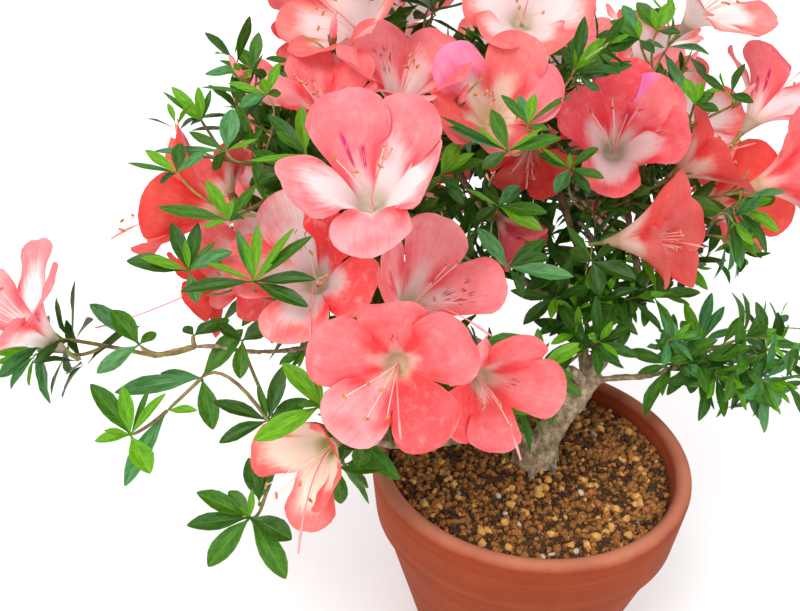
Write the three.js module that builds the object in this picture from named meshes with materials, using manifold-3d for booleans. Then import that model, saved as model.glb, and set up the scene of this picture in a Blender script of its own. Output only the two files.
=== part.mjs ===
// A small evergreen azalea in flower, standing in a round terracotta pot that is filled with coarse soil.
// The pot, the soil, the trunk and every bough are one solid each. The crown is a set of masses: in each of
// them twigs branch from one stem and end in funnel-shaped blossoms or in whorls of leaves.
// Lengths are millimetres. The origin is the centre of the pot's flat underside, +Z is up, and the side that
// is seen from the front faces -Y. The crown leans towards -X and hangs over the pot's rim there.

import * as THREE from "three";
import { mergeVertices } from "three/addons/utils/BufferGeometryUtils.js";
import Module from "manifold-3d";

const wasm = await Module();
wasm.setup();
const { Manifold, Mesh } = wasm;

// Driving dimensions
const GAP = 0.3; // air between two solids that meet
const CLEAR = 0.2; // least air that a twig, leaf or blossom keeps to everything outside its own mass
const POT = {
  height: 120,
  rimRadius: 75,
  mouthRadius: 67.5,
  lip: 4, // height of the rounded top edge
  lipSteps: 5,
  lipDrop: 10, // from the top down to where the band's slope ends
  bandHeight: 32,
  bandRadius: 72,
  neckRadius: 69.5,
  footRadius: 44,
  edge: 1, // bevel of the foot and of the band's lower edge
  wall: 7,
  floor: 9,
  sides: 36,
};
const SOIL = { level: 112, flatRadius: 34, fall: 2, wallGap: 0.42 };
const TRUNK = {
  foot: [2, 2],
  fork: [28, 22, 146],
  topLean: [0.45, 0.3, 0.85],
  curl: 0.3, // share of the height over which each end keeps its own direction
  footRadius: 7.5,
  forkRadius: 4.4,
  flare: 6,
  flareFade: 7,
  rootLobes: 5,
  lobeDepth: 0.28,
  levelShare: 0.45, // share of the trunk over which its rings turn from level to square
  sides: 15,
  steps: 7,
};
const BOUGH = { sides: 6, steps: 5, reach: 0.36, lift: 0.35 };
const FOLD = 5; // lobes of a blossom, leaves of a whorl and sides of a twig
const TWIG = {
  footRadius: 0.6,
  tipRadius: 1.2,
  stemRadius: 1.9,
  stemShares: [0.8, 0.6, 0.4, 0.25, 0.15], // ways from the bough's tip to the mass's middle, as tried
  steps: 2,
  detour: 0.45, // how much the way back to the stem counts in the choice of a fork
  bend: 0.4,
  choices: 4,
};
const LEAF = {
  length: 29,
  width: 13,
  bud: 1.6,
  droop: 1.5,
  tilt: 0.95, // radians from the shoot's axis
  sizes: [1, 0.75], // shares of the full size, as tried
  depth: 8,
  room: 14,
  closer: 0.9,
};
const BLOSSOM = {
  radius: 30,
  throatRadius: 12,
  throatHeight: 9,
  flareHeight: 15,
  shoulder: 0.38, // radians from a lobe's middle to its corners
  notchRadius: 0.66, // share of the radius
  wall: 1.6,
  stalk: 10,
  room: 25,
  closer: 0.75,
};
const FUSE_TOLERANCE = 0.02; // slivers thinner than this are taken out of a fused mass
const SPIN_STEP = 2.4; // radians that each placed tip is turned on from the one before it in its list
const SEED = 20417;
const SCATTER = {
  tries: 60, // for each tip that is wanted
  shell: 0.8, // share of a neighbour's size inside which a tip counts as buried
  lift: 0.45, // how far a tip turns up from straight out
  lowestBlossom: -0.45, // how far down the crown blossoms go, as a slope
  seenFromFront: 0.2, // how far round to the front scattered blossoms go, as a cosine
};
const CROWN_MIDDLE = new THREE.Vector3(-40, 35, 220);
const FRONT = new THREE.Vector3(0, -0.85, 0.52); // the side on which the blossoms are placed one by one
const PLACED = { left: -190, right: 100, top: 318 }; // and how far over the crown they are placed

// Boughs: the limb that each grows from, how far along it, its tip, and its radius at both ends
const BOUGHS = [
  { name: "left_bough", from: "trunk", along: 0.6, tip: [-84, 4, 188], radii: [3.6, 2.2] },
  { name: "low_bough", from: "trunk", along: 0.12, tip: [-72, -26, 143], radii: [3.4, 1.8] },
  { name: "front_bough", from: "trunk", along: 0.82, tip: [-26, -18, 180], radii: [3, 1.8] },
  { name: "middle_bough", from: "trunk", along: 1, tip: [32, 48, 186], radii: [3.3, 2] },
  { name: "right_bough", from: "trunk", along: 0.97, tip: [60, 66, 188], radii: [3, 1.8] },
  { name: "side_branch", from: "trunk", along: 0.9, tip: [64, 24, 152], radii: [1.8, 1.2] },
  { name: "back_bough", from: "trunk", along: 0.9, tip: [-12, 84, 196], radii: [3.3, 2] },
  { name: "far_left_bough", from: "left_bough", along: 0.8, tip: [-134, -34, 187], radii: [2, 1.3] },
  { name: "left_high_bough", from: "left_bough", along: 0.75, tip: [-108, 20, 228], radii: [2.2, 1.6] },
  { name: "front_high_bough", from: "left_bough", along: 0.4, tip: [-62, -4, 212], radii: [2.2, 1.6] },
  { name: "high_bough", from: "middle_bough", along: 0.45, tip: [4, 76, 240], radii: [2.2, 1.6] },
  { name: "top_bough", from: "back_bough", along: 0.7, tip: [-52, 66, 252], radii: [2.3, 1.6] },
  { name: "back_left_bough", from: "back_bough", along: 0.5, tip: [-66, 72, 204], radii: [2.3, 1.6] },
  { name: "back_right_bough", from: "right_bough", along: 0.7, tip: [48, 90, 208], radii: [2.2, 1.6] },
];

// Masses: the bough that carries each, how many blossoms and leafy shoots the seeded rule scatters over it,
// and the middle and half sizes of its space
const MASSES = [
  {
    name: "front_mass", bough: "front_bough", blossoms: 0, shoots: 7,
    centre: [-36, -34, 192], half: [36, 28, 30],
  },
  {
    name: "front_high_mass", bough: "front_high_bough", blossoms: 0, shoots: 7,
    centre: [-70, -10, 232], half: [40, 32, 32],
  },
  {
    name: "low_mass", bough: "low_bough", blossoms: 0, shoots: 5,
    centre: [-98, -52, 160], half: [36, 32, 26],
  },
  {
    name: "left_mass", bough: "left_bough", blossoms: 1, shoots: 7,
    centre: [-116, -8, 212], half: [34, 34, 32],
  },
  {
    name: "far_left_mass", bough: "far_left_bough", blossoms: 1, shoots: 6,
    centre: [-168, -38, 190], half: [38, 32, 30],
  },
  {
    name: "left_high_mass", bough: "left_high_bough", blossoms: 2, shoots: 8,
    centre: [-124, 18, 256], half: [38, 36, 36],
  },
  {
    name: "high_mass", bough: "high_bough", blossoms: 1, shoots: 8,
    centre: [-12, 48, 270], half: [40, 36, 38],
  },
  {
    name: "top_mass", bough: "top_bough", blossoms: 4, shoots: 9,
    centre: [-78, 58, 292], half: [48, 42, 38],
  },
  {
    name: "middle_mass", bough: "middle_bough", blossoms: 0, shoots: 8,
    centre: [14, 54, 222], half: [38, 32, 32],
  },
  {
    name: "right_mass", bough: "right_bough", blossoms: 3, shoots: 9,
    centre: [62, 70, 232], half: [42, 38, 48],
  },
  {
    name: "side_mass", bough: "side_branch", blossoms: 0, shoots: 6,
    centre: [86, 30, 162], half: [34, 26, 22],
  },
  {
    name: "back_left_mass", bough: "back_left_bough", blossoms: 7, shoots: 9,
    centre: [-92, 80, 222], half: [48, 42, 44],
  },
  {
    name: "back_mass", bough: "back_bough", blossoms: 6, shoots: 9,
    centre: [-26, 104, 226], half: [46, 44, 48],
  },
  {
    name: "back_right_mass", bough: "back_right_bough", blossoms: 6, shoots: 9,
    centre: [44, 116, 232], half: [44, 42, 46],
  },
];

// Blossoms of the front, placed one by one: the deep middle of the funnel, where it faces, and its radius
const PLACED_BLOSSOMS = [
  { mass: "front_high_mass", at: [-76, -29, 257], faces: [-0.2, -0.3, 0.9], radius: 31 },
  { mass: "front_high_mass", at: [-97, -30, 223], faces: [-0.1, -0.6, 0.8], radius: 30 },
  { mass: "front_high_mass", at: [-61, -26, 211], faces: [0.6, -0.3, 0.8], radius: 29 },
  { mass: "front_mass", at: [-64, -68, 213], faces: [0, -0.9, 0.3], radius: 31 },
  { mass: "front_mass", at: [-32, -49, 195], faces: [0.6, -0.8, 0.1], radius: 30 },
  { mass: "low_mass", at: [-92, -69, 173], faces: [-0.5, -0.9, -0.1], radius: 28 },
  { mass: "left_high_mass", at: [-137, -14, 256], faces: [-1, 0, 0.1], radius: 29 },
  { mass: "left_mass", at: [-142, 3, 196], faces: [-0.8, -0.3, -0.5], radius: 28 },
  { mass: "top_mass", at: [-102, 22, 278], faces: [-0.4, 0, 0.9], radius: 29 },
  { mass: "top_mass", at: [-68, 29, 276], faces: [0.1, -0.2, 1], radius: 28 },
  { mass: "top_mass", at: [-92, 56, 298], faces: [-0.5, -0.3, 0.8], radius: 30 },
  { mass: "top_mass", at: [-57, 82, 315], faces: [-0.2, -0.3, 0.9], radius: 30 },
  { mass: "high_mass", at: [-18, 53, 300], faces: [0, -0.4, 0.9], radius: 31 },
  { mass: "high_mass", at: [-28, 40, 266], faces: [0.2, -0.5, 0.9], radius: 29 },
  { mass: "middle_mass", at: [33, 72, 242], faces: [0, -0.6, 0.8], radius: 30 },
  { mass: "right_mass", at: [65, 98, 297], faces: [0.4, -0.4, 0.8], radius: 29 },
  { mass: "right_mass", at: [68, 76, 232], faces: [0.8, 0, 0.6], radius: 28 },
  { mass: "right_mass", at: [36, 38, 213], faces: [1, -0.1, 0], radius: 26 },
  { mass: "middle_mass", at: [-12, 29, 218], faces: [0.7, -0.7, -0.1], radius: 22 },
  { mass: "middle_mass", at: [-3, 51, 235], faces: [-0.1, -0.9, 0.3], radius: 25 },
  { mass: "left_mass", at: [-124, 7, 211], faces: [-0.4, -0.8, 0.4], radius: 27 },
  { mass: "left_high_mass", at: [-140, 40, 258], faces: [-0.8, 0.3, 0.5], radius: 26 },
];

// Leafy shoots that reach out and draw the crown's outline, placed one by one
const PLACED_SHOOTS = [
  { mass: "left_mass", at: [-148, -44, 226], faces: [-0.6, -0.7, 0.3] },
  { mass: "low_mass", at: [-119, -40, 173], faces: [-0.5, -0.5, 0.7] },
  { mass: "low_mass", at: [-121, -73, 146], faces: [-0.3, -0.9, 0.2] },
  { mass: "far_left_mass", at: [-177, -59, 170], faces: [-0.5, -0.7, 0.5] },
  { mass: "far_left_mass", at: [-198, -38, 198], faces: [-1, -0.1, 0.2] },
  { mass: "far_left_mass", at: [-150, -50, 190], faces: [-0.3, -0.7, -0.5] },
  { mass: "left_high_mass", at: [-152, 6, 276], faces: [-0.7, -0.1, 0.7] },
  { mass: "left_high_mass", at: [-136, 30, 288], faces: [-0.5, 0.2, 0.8] },
  { mass: "front_high_mass", at: [-46, -14, 250], faces: [0.5, -0.2, 0.8] },
  { mass: "high_mass", at: [-10, 16, 262], faces: [0.3, -0.5, 0.8] },
  { mass: "high_mass", at: [16, 66, 276], faces: [0.2, -0.2, 1] },
  { mass: "right_mass", at: [76, 84, 262], faces: [0.2, -0.2, 1] },
  { mass: "front_mass", at: [4, -14, 180], faces: [0.8, -0.4, 0.5] },
  { mass: "front_mass", at: [-6, -34, 172], faces: [0.6, -0.6, -0.4] },
  { mass: "middle_mass", at: [16, 40, 236], faces: [0.2, -0.6, 0.8] },
  { mass: "right_mass", at: [66, 42, 214], faces: [0.4, -0.6, 0.7] },
  { mass: "side_mass", at: [100, 26, 172], faces: [0.9, -0.2, 0.5] },
  { mass: "side_mass", at: [84, 12, 158], faces: [0.3, -0.9, 0.2] },
];

// Plain helpers
const UP = new THREE.Vector3(0, 0, 1);
const vector = (list) => new THREE.Vector3(...list);
const unit = (list) => vector(list).normalize();

// The seeded rule draws every scattered number from this one sequence.
let state = SEED;
function roll() {
  state = (Math.imul(state, 1664525) + 1013904223) >>> 0;
  return state / 4294967296;
}

function solidOf(geometry) {
  const bare = geometry.clone();
  bare.deleteAttribute("normal");
  bare.deleteAttribute("uv");
  const merged = mergeVertices(bare, 1e-4);
  const vertProperties = new Float32Array(merged.attributes.position.array);
  const triVerts = new Uint32Array(merged.index.array);
  return new Manifold(new Mesh({ numProp: 3, vertProperties, triVerts }));
}

function geometryOfSolid(solid) {
  const { vertProperties, triVerts, numProp } = solid.getMesh();
  const geometry = new THREE.BufferGeometry();
  const corners = new THREE.InterleavedBuffer(vertProperties, numProp);
  geometry.setAttribute("position", new THREE.InterleavedBufferAttribute(corners, 3, 0));
  geometry.setIndex(new THREE.BufferAttribute(triVerts, 1));
  return geometry.toNonIndexed();
}

function geometryOfFaces(corners, faces) {
  const places = corners.flatMap((corner) => corner.toArray());
  const geometry = new THREE.BufferGeometry();
  geometry.setAttribute("position", new THREE.Float32BufferAttribute(places, 3));
  geometry.setIndex(faces.flat());
  return geometry;
}

// Two directions square to an axis, turned about it by the spin
function frameAbout(axis, spin) {
  const helper = Math.abs(axis.z) < 0.9 ? UP : new THREE.Vector3(1, 0, 0);
  const right = helper.clone().cross(axis).normalize();
  const ahead = axis.clone().cross(right);
  const turn = new THREE.Quaternion().setFromAxisAngle(axis, spin);
  return [right.applyQuaternion(turn), ahead.applyQuaternion(turn)];
}

// A rod swept along a curve, as rings of corners from its tip down to its foot. The foot is closed and the
// tip is left open, with its ring as the first corners, for a cap, leaves or a blossom to close.
function openRod(curve, steps, sides, radiusAt, tipAcross, facingAt = (t) => curve.getTangent(t)) {
  const corners = [];
  const faces = [];
  const across = tipAcross.clone();
  for (let i = 0; i <= steps; i++) {
    const t = 1 - i / steps;
    const centre = curve.getPoint(t);
    const facing = facingAt(t);
    across.addScaledVector(facing, -across.dot(facing)).normalize();
    const third = facing.clone().cross(across);
    for (let k = 0; k < sides; k++) {
      const angle = (2 * Math.PI * k) / sides;
      const radius = radiusAt(t, angle);
      const corner = centre.clone().addScaledVector(across, radius * Math.cos(angle));
      corners.push(corner.addScaledVector(third, radius * Math.sin(angle)));
    }
  }
  for (let i = 0; i < steps; i++) {
    for (let k = 0; k < sides; k++) {
      const next = (k + 1) % sides;
      const [a, b] = [i * sides + k, i * sides + next];
      const [c, d] = [b + sides, a + sides];
      faces.push([d, c, b], [d, b, a]);
    }
  }
  const foot = corners.push(curve.getPoint(0)) - 1;
  const last = steps * sides;
  for (let k = 0; k < sides; k++) faces.push([foot, last + ((k + 1) % sides), last + k]);
  return { corners, faces };
}

function cappedRod(curve, steps, sides, radiusAt, facingAt) {
  const [across] = frameAbout(curve.getTangent(1), 0);
  const { corners, faces } = openRod(curve, steps, sides, radiusAt, across, facingAt);
  const tip = corners.push(curve.getPoint(1)) - 1;
  for (let k = 0; k < sides; k++) faces.push([tip, k, (k + 1) % sides]);
  return geometryOfFaces(corners, faces);
}

// Pot: one turned profile from the middle of the underside, up the outside, over the lip and down the inside
function potProfile() {
  const { height, rimRadius, mouthRadius, lip, lipSteps, lipDrop, edge } = POT;
  const { bandRadius, neckRadius, footRadius, wall, floor } = POT;
  const bandFoot = height - POT.bandHeight;
  const lipMiddle = (rimRadius + mouthRadius) / 2;
  const lipHalf = (rimRadius - mouthRadius) / 2;
  const points = [
    [0, 0],
    [footRadius - edge, 0],
    [footRadius, edge],
    [neckRadius, bandFoot - edge],
    [bandRadius - edge, bandFoot],
    [bandRadius, bandFoot + edge],
    [rimRadius - edge, height - lipDrop],
  ];
  for (let i = 0; i <= lipSteps; i++) {
    const angle = (Math.PI * i) / lipSteps;
    points.push([lipMiddle + lipHalf * Math.cos(angle), height - lip + lip * Math.sin(angle)]);
  }
  points.push([neckRadius - wall, bandFoot], [footRadius - wall, floor], [0, floor]);
  return points.map(([r, z]) => new THREE.Vector2(r, z));
}

// The inner wall's radius at a height, which the soil follows
function innerRadius(z) {
  const bandFoot = POT.height - POT.bandHeight;
  const low = POT.footRadius - POT.wall;
  const high = POT.neckRadius - POT.wall;
  if (z <= bandFoot) return low + ((high - low) * (z - POT.floor)) / (bandFoot - POT.floor);
  const lipFoot = POT.height - POT.lip;
  return high + ((POT.mouthRadius - high) * (z - bandFoot)) / (lipFoot - bandFoot);
}

function soilProfile() {
  const bandFoot = POT.height - POT.bandHeight;
  const shore = SOIL.level - SOIL.fall;
  return [
    [0, POT.floor + GAP],
    [innerRadius(POT.floor) - SOIL.wallGap, POT.floor + GAP],
    [innerRadius(bandFoot) - SOIL.wallGap, bandFoot],
    [innerRadius(shore) - SOIL.wallGap, shore],
    [SOIL.flatRadius, SOIL.level],
    [0, SOIL.level],
  ].map(([r, z]) => new THREE.Vector2(r, z));
}

function turned(profile) {
  return new THREE.LatheGeometry(profile, POT.sides).rotateX(Math.PI / 2);
}

// Limbs: the trunk and boughs as curves with a radius at each end
const limbs = new Map();

function addTrunk() {
  const [footX, footY] = TRUNK.foot;
  const foot = new THREE.Vector3(footX, footY, SOIL.level + GAP);
  const fork = vector(TRUNK.fork);
  const rise = (fork.z - foot.z) * TRUNK.curl;
  const leaving = foot.clone().addScaledVector(UP, rise);
  const arriving = fork.clone().addScaledVector(unit(TRUNK.topLean), -rise);
  const curve = new THREE.CubicBezierCurve3(foot, leaving, arriving, fork);
  const radiusAt = (t, angle) => {
    const taper = TRUNK.footRadius + (TRUNK.forkRadius - TRUNK.footRadius) * t;
    const flare = Math.exp(-TRUNK.flareFade * t);
    const lobes = 1 + TRUNK.lobeDepth * flare * Math.cos(TRUNK.rootLobes * angle);
    return (taper + TRUNK.flare * flare) * lobes;
  };
  const facingAt = (t) => {
    const level = Math.max(0, 1 - t / TRUNK.levelShare);
    return curve.getTangent(t).lerp(UP, level).normalize();
  };
  const geometryAt = (swell) => {
    const swollen = (t, angle) => radiusAt(t, angle) + swell;
    return cappedRod(curve, TRUNK.steps, TRUNK.sides, swollen, facingAt);
  };
  limbs.set("trunk", { curve, geometryAt });
}

function addBough({ name, from, along, tip, radii }) {
  const parent = limbs.get(from).curve;
  const start = parent.getPoint(along);
  const end = vector(tip);
  const span = end.clone().sub(start);
  const reach = span.length() * BOUGH.reach;
  const straight = span.normalize();
  const leaving = parent.getTangent(along).add(straight).normalize();
  const arriving = straight.clone().addScaledVector(UP, BOUGH.lift).normalize();
  const curve = new THREE.CubicBezierCurve3(
    start,
    start.clone().addScaledVector(leaving, reach),
    end.clone().addScaledVector(arriving, -reach),
    end,
  );
  const geometryAt = (swell) =>
    cappedRod(curve, BOUGH.steps, BOUGH.sides, (t) => radii[0] + (radii[1] - radii[0]) * t + swell);
  limbs.set(name, { curve, geometryAt });
}

// Where the crown's blossoms and leafy shoots sit
function inSpace(point, mass, share) {
  const [x, y, z] = mass.centre;
  const [a, b, c] = mass.half;
  return ((point.x - x) / a) ** 2 + ((point.y - y) / b) ** 2 + ((point.z - z) / c) ** 2 < share * share;
}

// The middle of the space that a blossom or a whorl of leaves fills
function middleOf({ at, faces, depth }) {
  return at.clone().addScaledVector(faces, depth);
}

function scatter(mass, count, kind, taken, allowed) {
  const made = [];
  for (let tries = 0; tries < count * SCATTER.tries && made.length < count; tries++) {
    const height = 2 * roll() - 1;
    const turn = 2 * Math.PI * roll();
    const spin = 2 * Math.PI * roll();
    const flat = Math.sqrt(1 - height * height);
    const ray = new THREE.Vector3(flat * Math.cos(turn), flat * Math.sin(turn), height);
    const at = vector(mass.centre).add(ray.clone().multiply(vector(mass.half)));
    const outward = ray.divide(vector(mass.half)).normalize();
    const faces = outward.clone().addScaledVector(UP, SCATTER.lift).normalize();
    const tip = { ...kind, mass: mass.name, at, faces, spin };
    const buried = MASSES.some((other) => other !== mass && inSpace(at, other, SCATTER.shell));
    const crowded = taken.some((other) => {
      const room = (tip.room + other.room) * (other.mass === tip.mass ? kind.closer : 1);
      return middleOf(other).distanceTo(middleOf(tip)) < room;
    });
    const inward = outward.dot(at.clone().sub(CROWN_MIDDLE)) < 0;
    if (buried || crowded || inward || !allowed(at, outward)) continue;
    made.push(tip);
    taken.push(tip);
  }
  return made;
}

function layOut() {
  const { radius, stalk, flareHeight, room, closer } = BLOSSOM;
  const blossom = { radius, stalk, depth: flareHeight, room, closer };
  const shoot = { stalk: 0, depth: LEAF.depth, room: LEAF.room, closer: LEAF.closer };
  const place = (kind) => (item, i) => {
    return { ...kind, ...item, at: vector(item.at), faces: unit(item.faces), spin: SPIN_STEP * i };
  };
  const blossoms = PLACED_BLOSSOMS.map(place(blossom));
  const shoots = PLACED_SHOOTS.map(place(shoot));
  const free = (at, outward) => {
    const beyond = at.x < PLACED.left || at.x > PLACED.right || at.z > PLACED.top;
    const away = outward.dot(FRONT) < SCATTER.seenFromFront;
    return outward.z > SCATTER.lowestBlossom && (away || beyond);
  };
  const taken = [...blossoms];
  for (const mass of MASSES) blossoms.push(...scatter(mass, mass.blossoms, blossom, taken, free));
  taken.push(...shoots);
  for (const mass of MASSES) shoots.push(...scatter(mass, mass.shoots, shoot, taken, () => true));
  return { blossoms, shoots };
}

// Twigs: a mass starts with one stem that carries on from its bough. Each tip, nearest the stem first, is
// joined by a bent twig to the fork that makes the shortest way, or to the next one where that way is
// blocked, and a tip that no free way leads to is skipped.
function startMass(mass, others) {
  const bough = limbs.get(mass.bough).curve;
  const root = bough.getPoint(1).addScaledVector(bough.getTangent(1), GAP);
  const { stem, solid } = clearStem(root, bough.getTangent(1), vector(mass.centre), others);
  const half = root.distanceTo(stem.v2) / 2;
  const forks = [
    { at: stem.getPoint(0.5), path: half },
    { at: stem.v2, path: 2 * half },
  ];
  return { root, forks, pieces: [solid] };
}

function growTips({ root, forks, pieces }, tips, others) {
  const nearestFirst = [...tips].sort((a, b) => a.at.distanceTo(root) - b.at.distanceTo(root));
  for (const tip of nearestFirst) {
    const end = tip.at.clone().addScaledVector(tip.faces, -tip.stalk);
    const way = (fork) => fork.at.distanceTo(end) + TWIG.detour * fork.path;
    const choices = [...forks].sort((a, b) => way(a) - way(b)).slice(0, TWIG.choices);
    for (const fork of choices) {
      const span = fork.at.distanceTo(end);
      const knee = end.clone().addScaledVector(tip.faces, -TWIG.bend * span);
      const twig = new THREE.QuadraticBezierCurve3(fork.at, knee, end);
      const piece = clearTip(twig, tip, others);
      if (!piece) continue;
      pieces.push(piece);
      forks.push({ at: twig.getPoint(0.5), path: fork.path + span / 2 });
      break;
    }
  }
}

// A blossom fits whole or not at all. A whorl that doesn't fit is tried again with smaller leaves.
function clearTip(twig, tip, others) {
  const shootsBySize = () => LEAF.sizes.map((size) => shootSolid(twig, tip, size));
  const tries = tip.radius ? [blossomSolid(twig, tip)] : shootsBySize();
  return tries.find((piece) => !touches(piece, others));
}

// The stem runs as far towards the middle of its mass as nothing is in its way.
function clearStem(root, leaving, centre, others) {
  for (const share of TWIG.stemShares) {
    const hub = root.clone().lerp(centre, share);
    const bend = root.clone().addScaledVector(leaving, root.distanceTo(hub) / 2);
    const stem = new THREE.QuadraticBezierCurve3(root, bend, hub);
    const solid = solidOf(cappedRod(stem, TWIG.steps, FOLD, () => TWIG.stemRadius));
    if (!touches(solid, others)) return { stem, solid };
  }
  throw new Error("no room for a stem");
}

// A twig's foot is the thinner end, so that it stays inside the twig that it joins.
function twigRadius(t) {
  return TWIG.footRadius + (TWIG.tipRadius - TWIG.footRadius) * t;
}

// The rod's tip opens into a whorl of leaves, one over each side of the rod. A leaf is a flat kite with a
// ridge that runs from the bud to its point.
function shootSolid(curve, { at, faces: axis, spin }, size) {
  const [right, ahead] = frameAbout(axis, spin);
  const { corners, faces } = openRod(curve, TWIG.steps, FOLD, twigRadius, right);
  const bud = corners.push(at.clone().addScaledVector(axis, LEAF.bud)) - 1;
  const halfWidth = (size * LEAF.width) / 2;
  for (let k = 0; k < FOLD; k++) {
    const angle = (2 * Math.PI * (k + 0.5)) / FOLD;
    const out = right.clone().multiplyScalar(Math.cos(angle)).addScaledVector(ahead, Math.sin(angle));
    const side = axis.clone().cross(out);
    const along = axis.clone().multiplyScalar(Math.cos(LEAF.tilt)).addScaledVector(out, Math.sin(LEAF.tilt));
    const middle = at.clone().addScaledVector(along, (size * LEAF.length) / 2);
    const end = at.clone().addScaledVector(along, size * LEAF.length).addScaledVector(UP, -LEAF.droop);
    const edge = corners.push(middle.clone().addScaledVector(side, -halfWidth)) - 1;
    const farEdge = corners.push(middle.clone().addScaledVector(side, halfWidth)) - 1;
    const point = corners.push(end) - 1;
    const next = (k + 1) % FOLD;
    faces.push([bud, k, edge], [bud, edge, point], [bud, point, farEdge], [bud, farEdge, next]);
    faces.push([k, next, point], [next, farEdge, point], [k, point, edge]);
  }
  return solidOf(geometryOfFaces(corners, faces));
}

// The rod's tip opens into a funnel with five lobes: its back runs on from the rod, its front starts at the
// deep middle, and the two meet in an edge with two shoulders to a lobe and a notch between lobes.
function blossomSolid(curve, { at, faces: axis, spin, radius }) {
  const [right, ahead] = frameAbout(axis, spin);
  const { corners, faces } = openRod(curve, TWIG.steps, FOLD, twigRadius, right);
  const put = (distance, angle, height) => {
    const corner = at.clone().addScaledVector(axis, height);
    corner.addScaledVector(right, distance * Math.cos(angle));
    corner.addScaledVector(ahead, distance * Math.sin(angle));
    return corners.push(corner) - 1;
  };
  const { throatRadius, throatHeight, flareHeight, shoulder, notchRadius, wall } = BLOSSOM;
  const deep = put(0, 0, 0);
  const lobes = [];
  for (let k = 0; k < FOLD; k++) {
    const middle = (2 * Math.PI * k) / FOLD;
    lobes.push({
      front: put(throatRadius, middle, throatHeight),
      back: put(throatRadius, middle, throatHeight - wall),
      notch: put(notchRadius * radius, middle - Math.PI / FOLD, flareHeight),
      first: put(radius, middle - shoulder, flareHeight),
      second: put(radius, middle + shoulder, flareHeight),
    });
  }
  lobes.forEach(({ front, back, notch, first, second }, k) => {
    const next = (k + 1) % FOLD;
    const beside = lobes[next];
    faces.push([deep, front, beside.front], [k, next, beside.back], [k, beside.back, back]);
    const rim = [notch, first, second, beside.notch];
    for (let i = 0; i < 3; i++) {
      faces.push([front, rim[i], rim[i + 1]], [back, rim[i + 1], rim[i]]);
    }
    faces.push([front, beside.notch, beside.front], [back, beside.back, beside.notch]);
  });
  return solidOf(geometryOfFaces(corners, faces));
}

function touches(solid, others) {
  return others.some((other) => solid.minGap(other, 1) < CLEAR);
}

function buildLimbSolids() {
  const solids = new Map();
  const swollen = [];
  for (const [name, limb] of limbs) {
    const whole = solidOf(limb.geometryAt(0));
    const trimmed = swollen.reduce((rest, other) => rest.subtract(other), whole);
    const pieces = trimmed.decompose().sort((a, b) => b.volume() - a.volume());
    solids.set(name, pieces[0]);
    swollen.push(solidOf(limb.geometryAt(GAP)));
  }
  return solids;
}

// Joins the pieces of one mass and keeps the body that holds the stem
function fuse(pieces) {
  const bodies = Manifold.union(pieces).simplify(FUSE_TOLERANCE).decompose();
  bodies.sort((a, b) => b.volume() - a.volume());
  return bodies[0];
}

// Every mass gets its stem first, then its blossoms, and then the leafy shoots that still find room.
function buildMassSolids(fixed) {
  const { blossoms, shoots } = layOut();
  const grown = new Map();
  const othersOf = (name) => {
    const rest = [...grown].filter(([other]) => other !== name).flatMap(([, other]) => other.pieces);
    return [...fixed, ...rest];
  };
  for (const mass of MASSES) grown.set(mass.name, startMass(mass, othersOf(mass.name)));
  for (const tips of [blossoms, shoots]) {
    for (const [name, mass] of grown) {
      growTips(mass, tips.filter((tip) => tip.mass === name), othersOf(name));
    }
  }
  return new Map([...grown].map(([name, { pieces }]) => [name, fuse(pieces)]));
}

// Assembly
const BARK = { color: 0x7b6a5c, roughness: 0.9, metalness: 0 };
const CLAY = { color: 0xb5573c, roughness: 0.85, metalness: 0 };
const GRIT = { color: 0x5a3a22, roughness: 1, metalness: 0 };
const FOLIAGE = { color: 0x3f7a3a, roughness: 0.6, metalness: 0 };

const azalea = new THREE.Group();
azalea.name = "potted_azalea";

function addMesh(name, geometry, finish) {
  const mesh = new THREE.Mesh(geometry, new THREE.MeshStandardMaterial(finish));
  mesh.name = name;
  azalea.add(mesh);
}

addTrunk();
BOUGHS.forEach(addBough);

const pot = turned(potProfile());
const soil = turned(soilProfile());
addMesh("pot", pot, CLAY);
addMesh("soil", soil, GRIT);

const limbSolids = buildLimbSolids();
for (const [name, solid] of limbSolids) addMesh(name, geometryOfSolid(solid), BARK);

const fixed = [solidOf(pot), solidOf(soil), ...limbSolids.values()];
for (const [name, solid] of buildMassSolids(fixed)) addMesh(name, geometryOfSolid(solid), FOLIAGE);

export default azalea;
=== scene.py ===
import math
from functools import partial

import bmesh
import bpy
import numpy as np
from mathutils import Matrix, Vector
from mathutils.kdtree import KDTree


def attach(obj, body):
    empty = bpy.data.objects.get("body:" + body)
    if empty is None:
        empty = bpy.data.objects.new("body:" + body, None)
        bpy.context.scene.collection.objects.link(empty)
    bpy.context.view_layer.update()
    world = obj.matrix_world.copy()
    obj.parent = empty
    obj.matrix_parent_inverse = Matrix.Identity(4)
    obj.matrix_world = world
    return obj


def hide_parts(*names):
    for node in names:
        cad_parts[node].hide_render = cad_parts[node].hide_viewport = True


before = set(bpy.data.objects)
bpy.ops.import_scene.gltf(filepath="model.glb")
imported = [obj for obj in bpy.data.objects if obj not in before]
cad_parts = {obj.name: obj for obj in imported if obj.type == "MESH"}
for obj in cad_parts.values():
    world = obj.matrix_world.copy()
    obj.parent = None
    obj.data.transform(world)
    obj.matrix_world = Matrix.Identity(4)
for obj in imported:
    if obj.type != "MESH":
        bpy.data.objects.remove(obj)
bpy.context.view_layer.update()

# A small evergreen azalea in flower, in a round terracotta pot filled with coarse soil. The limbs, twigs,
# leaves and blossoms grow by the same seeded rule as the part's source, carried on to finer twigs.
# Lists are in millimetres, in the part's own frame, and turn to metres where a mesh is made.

MM = 0.001
SEED = 20417
UV_NAME = "OFBake"
UP = np.array([0.0, 0.0, 1.0])
SIDE = np.array([1.0, 0.0, 0.0])
FRONT = np.array([0.0, -0.85, 0.52])
CROWN_MIDDLE = np.array([-40.0, 35.0, 220.0])
GOLDEN = 2.399963
TURN = 2 * math.pi

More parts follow.
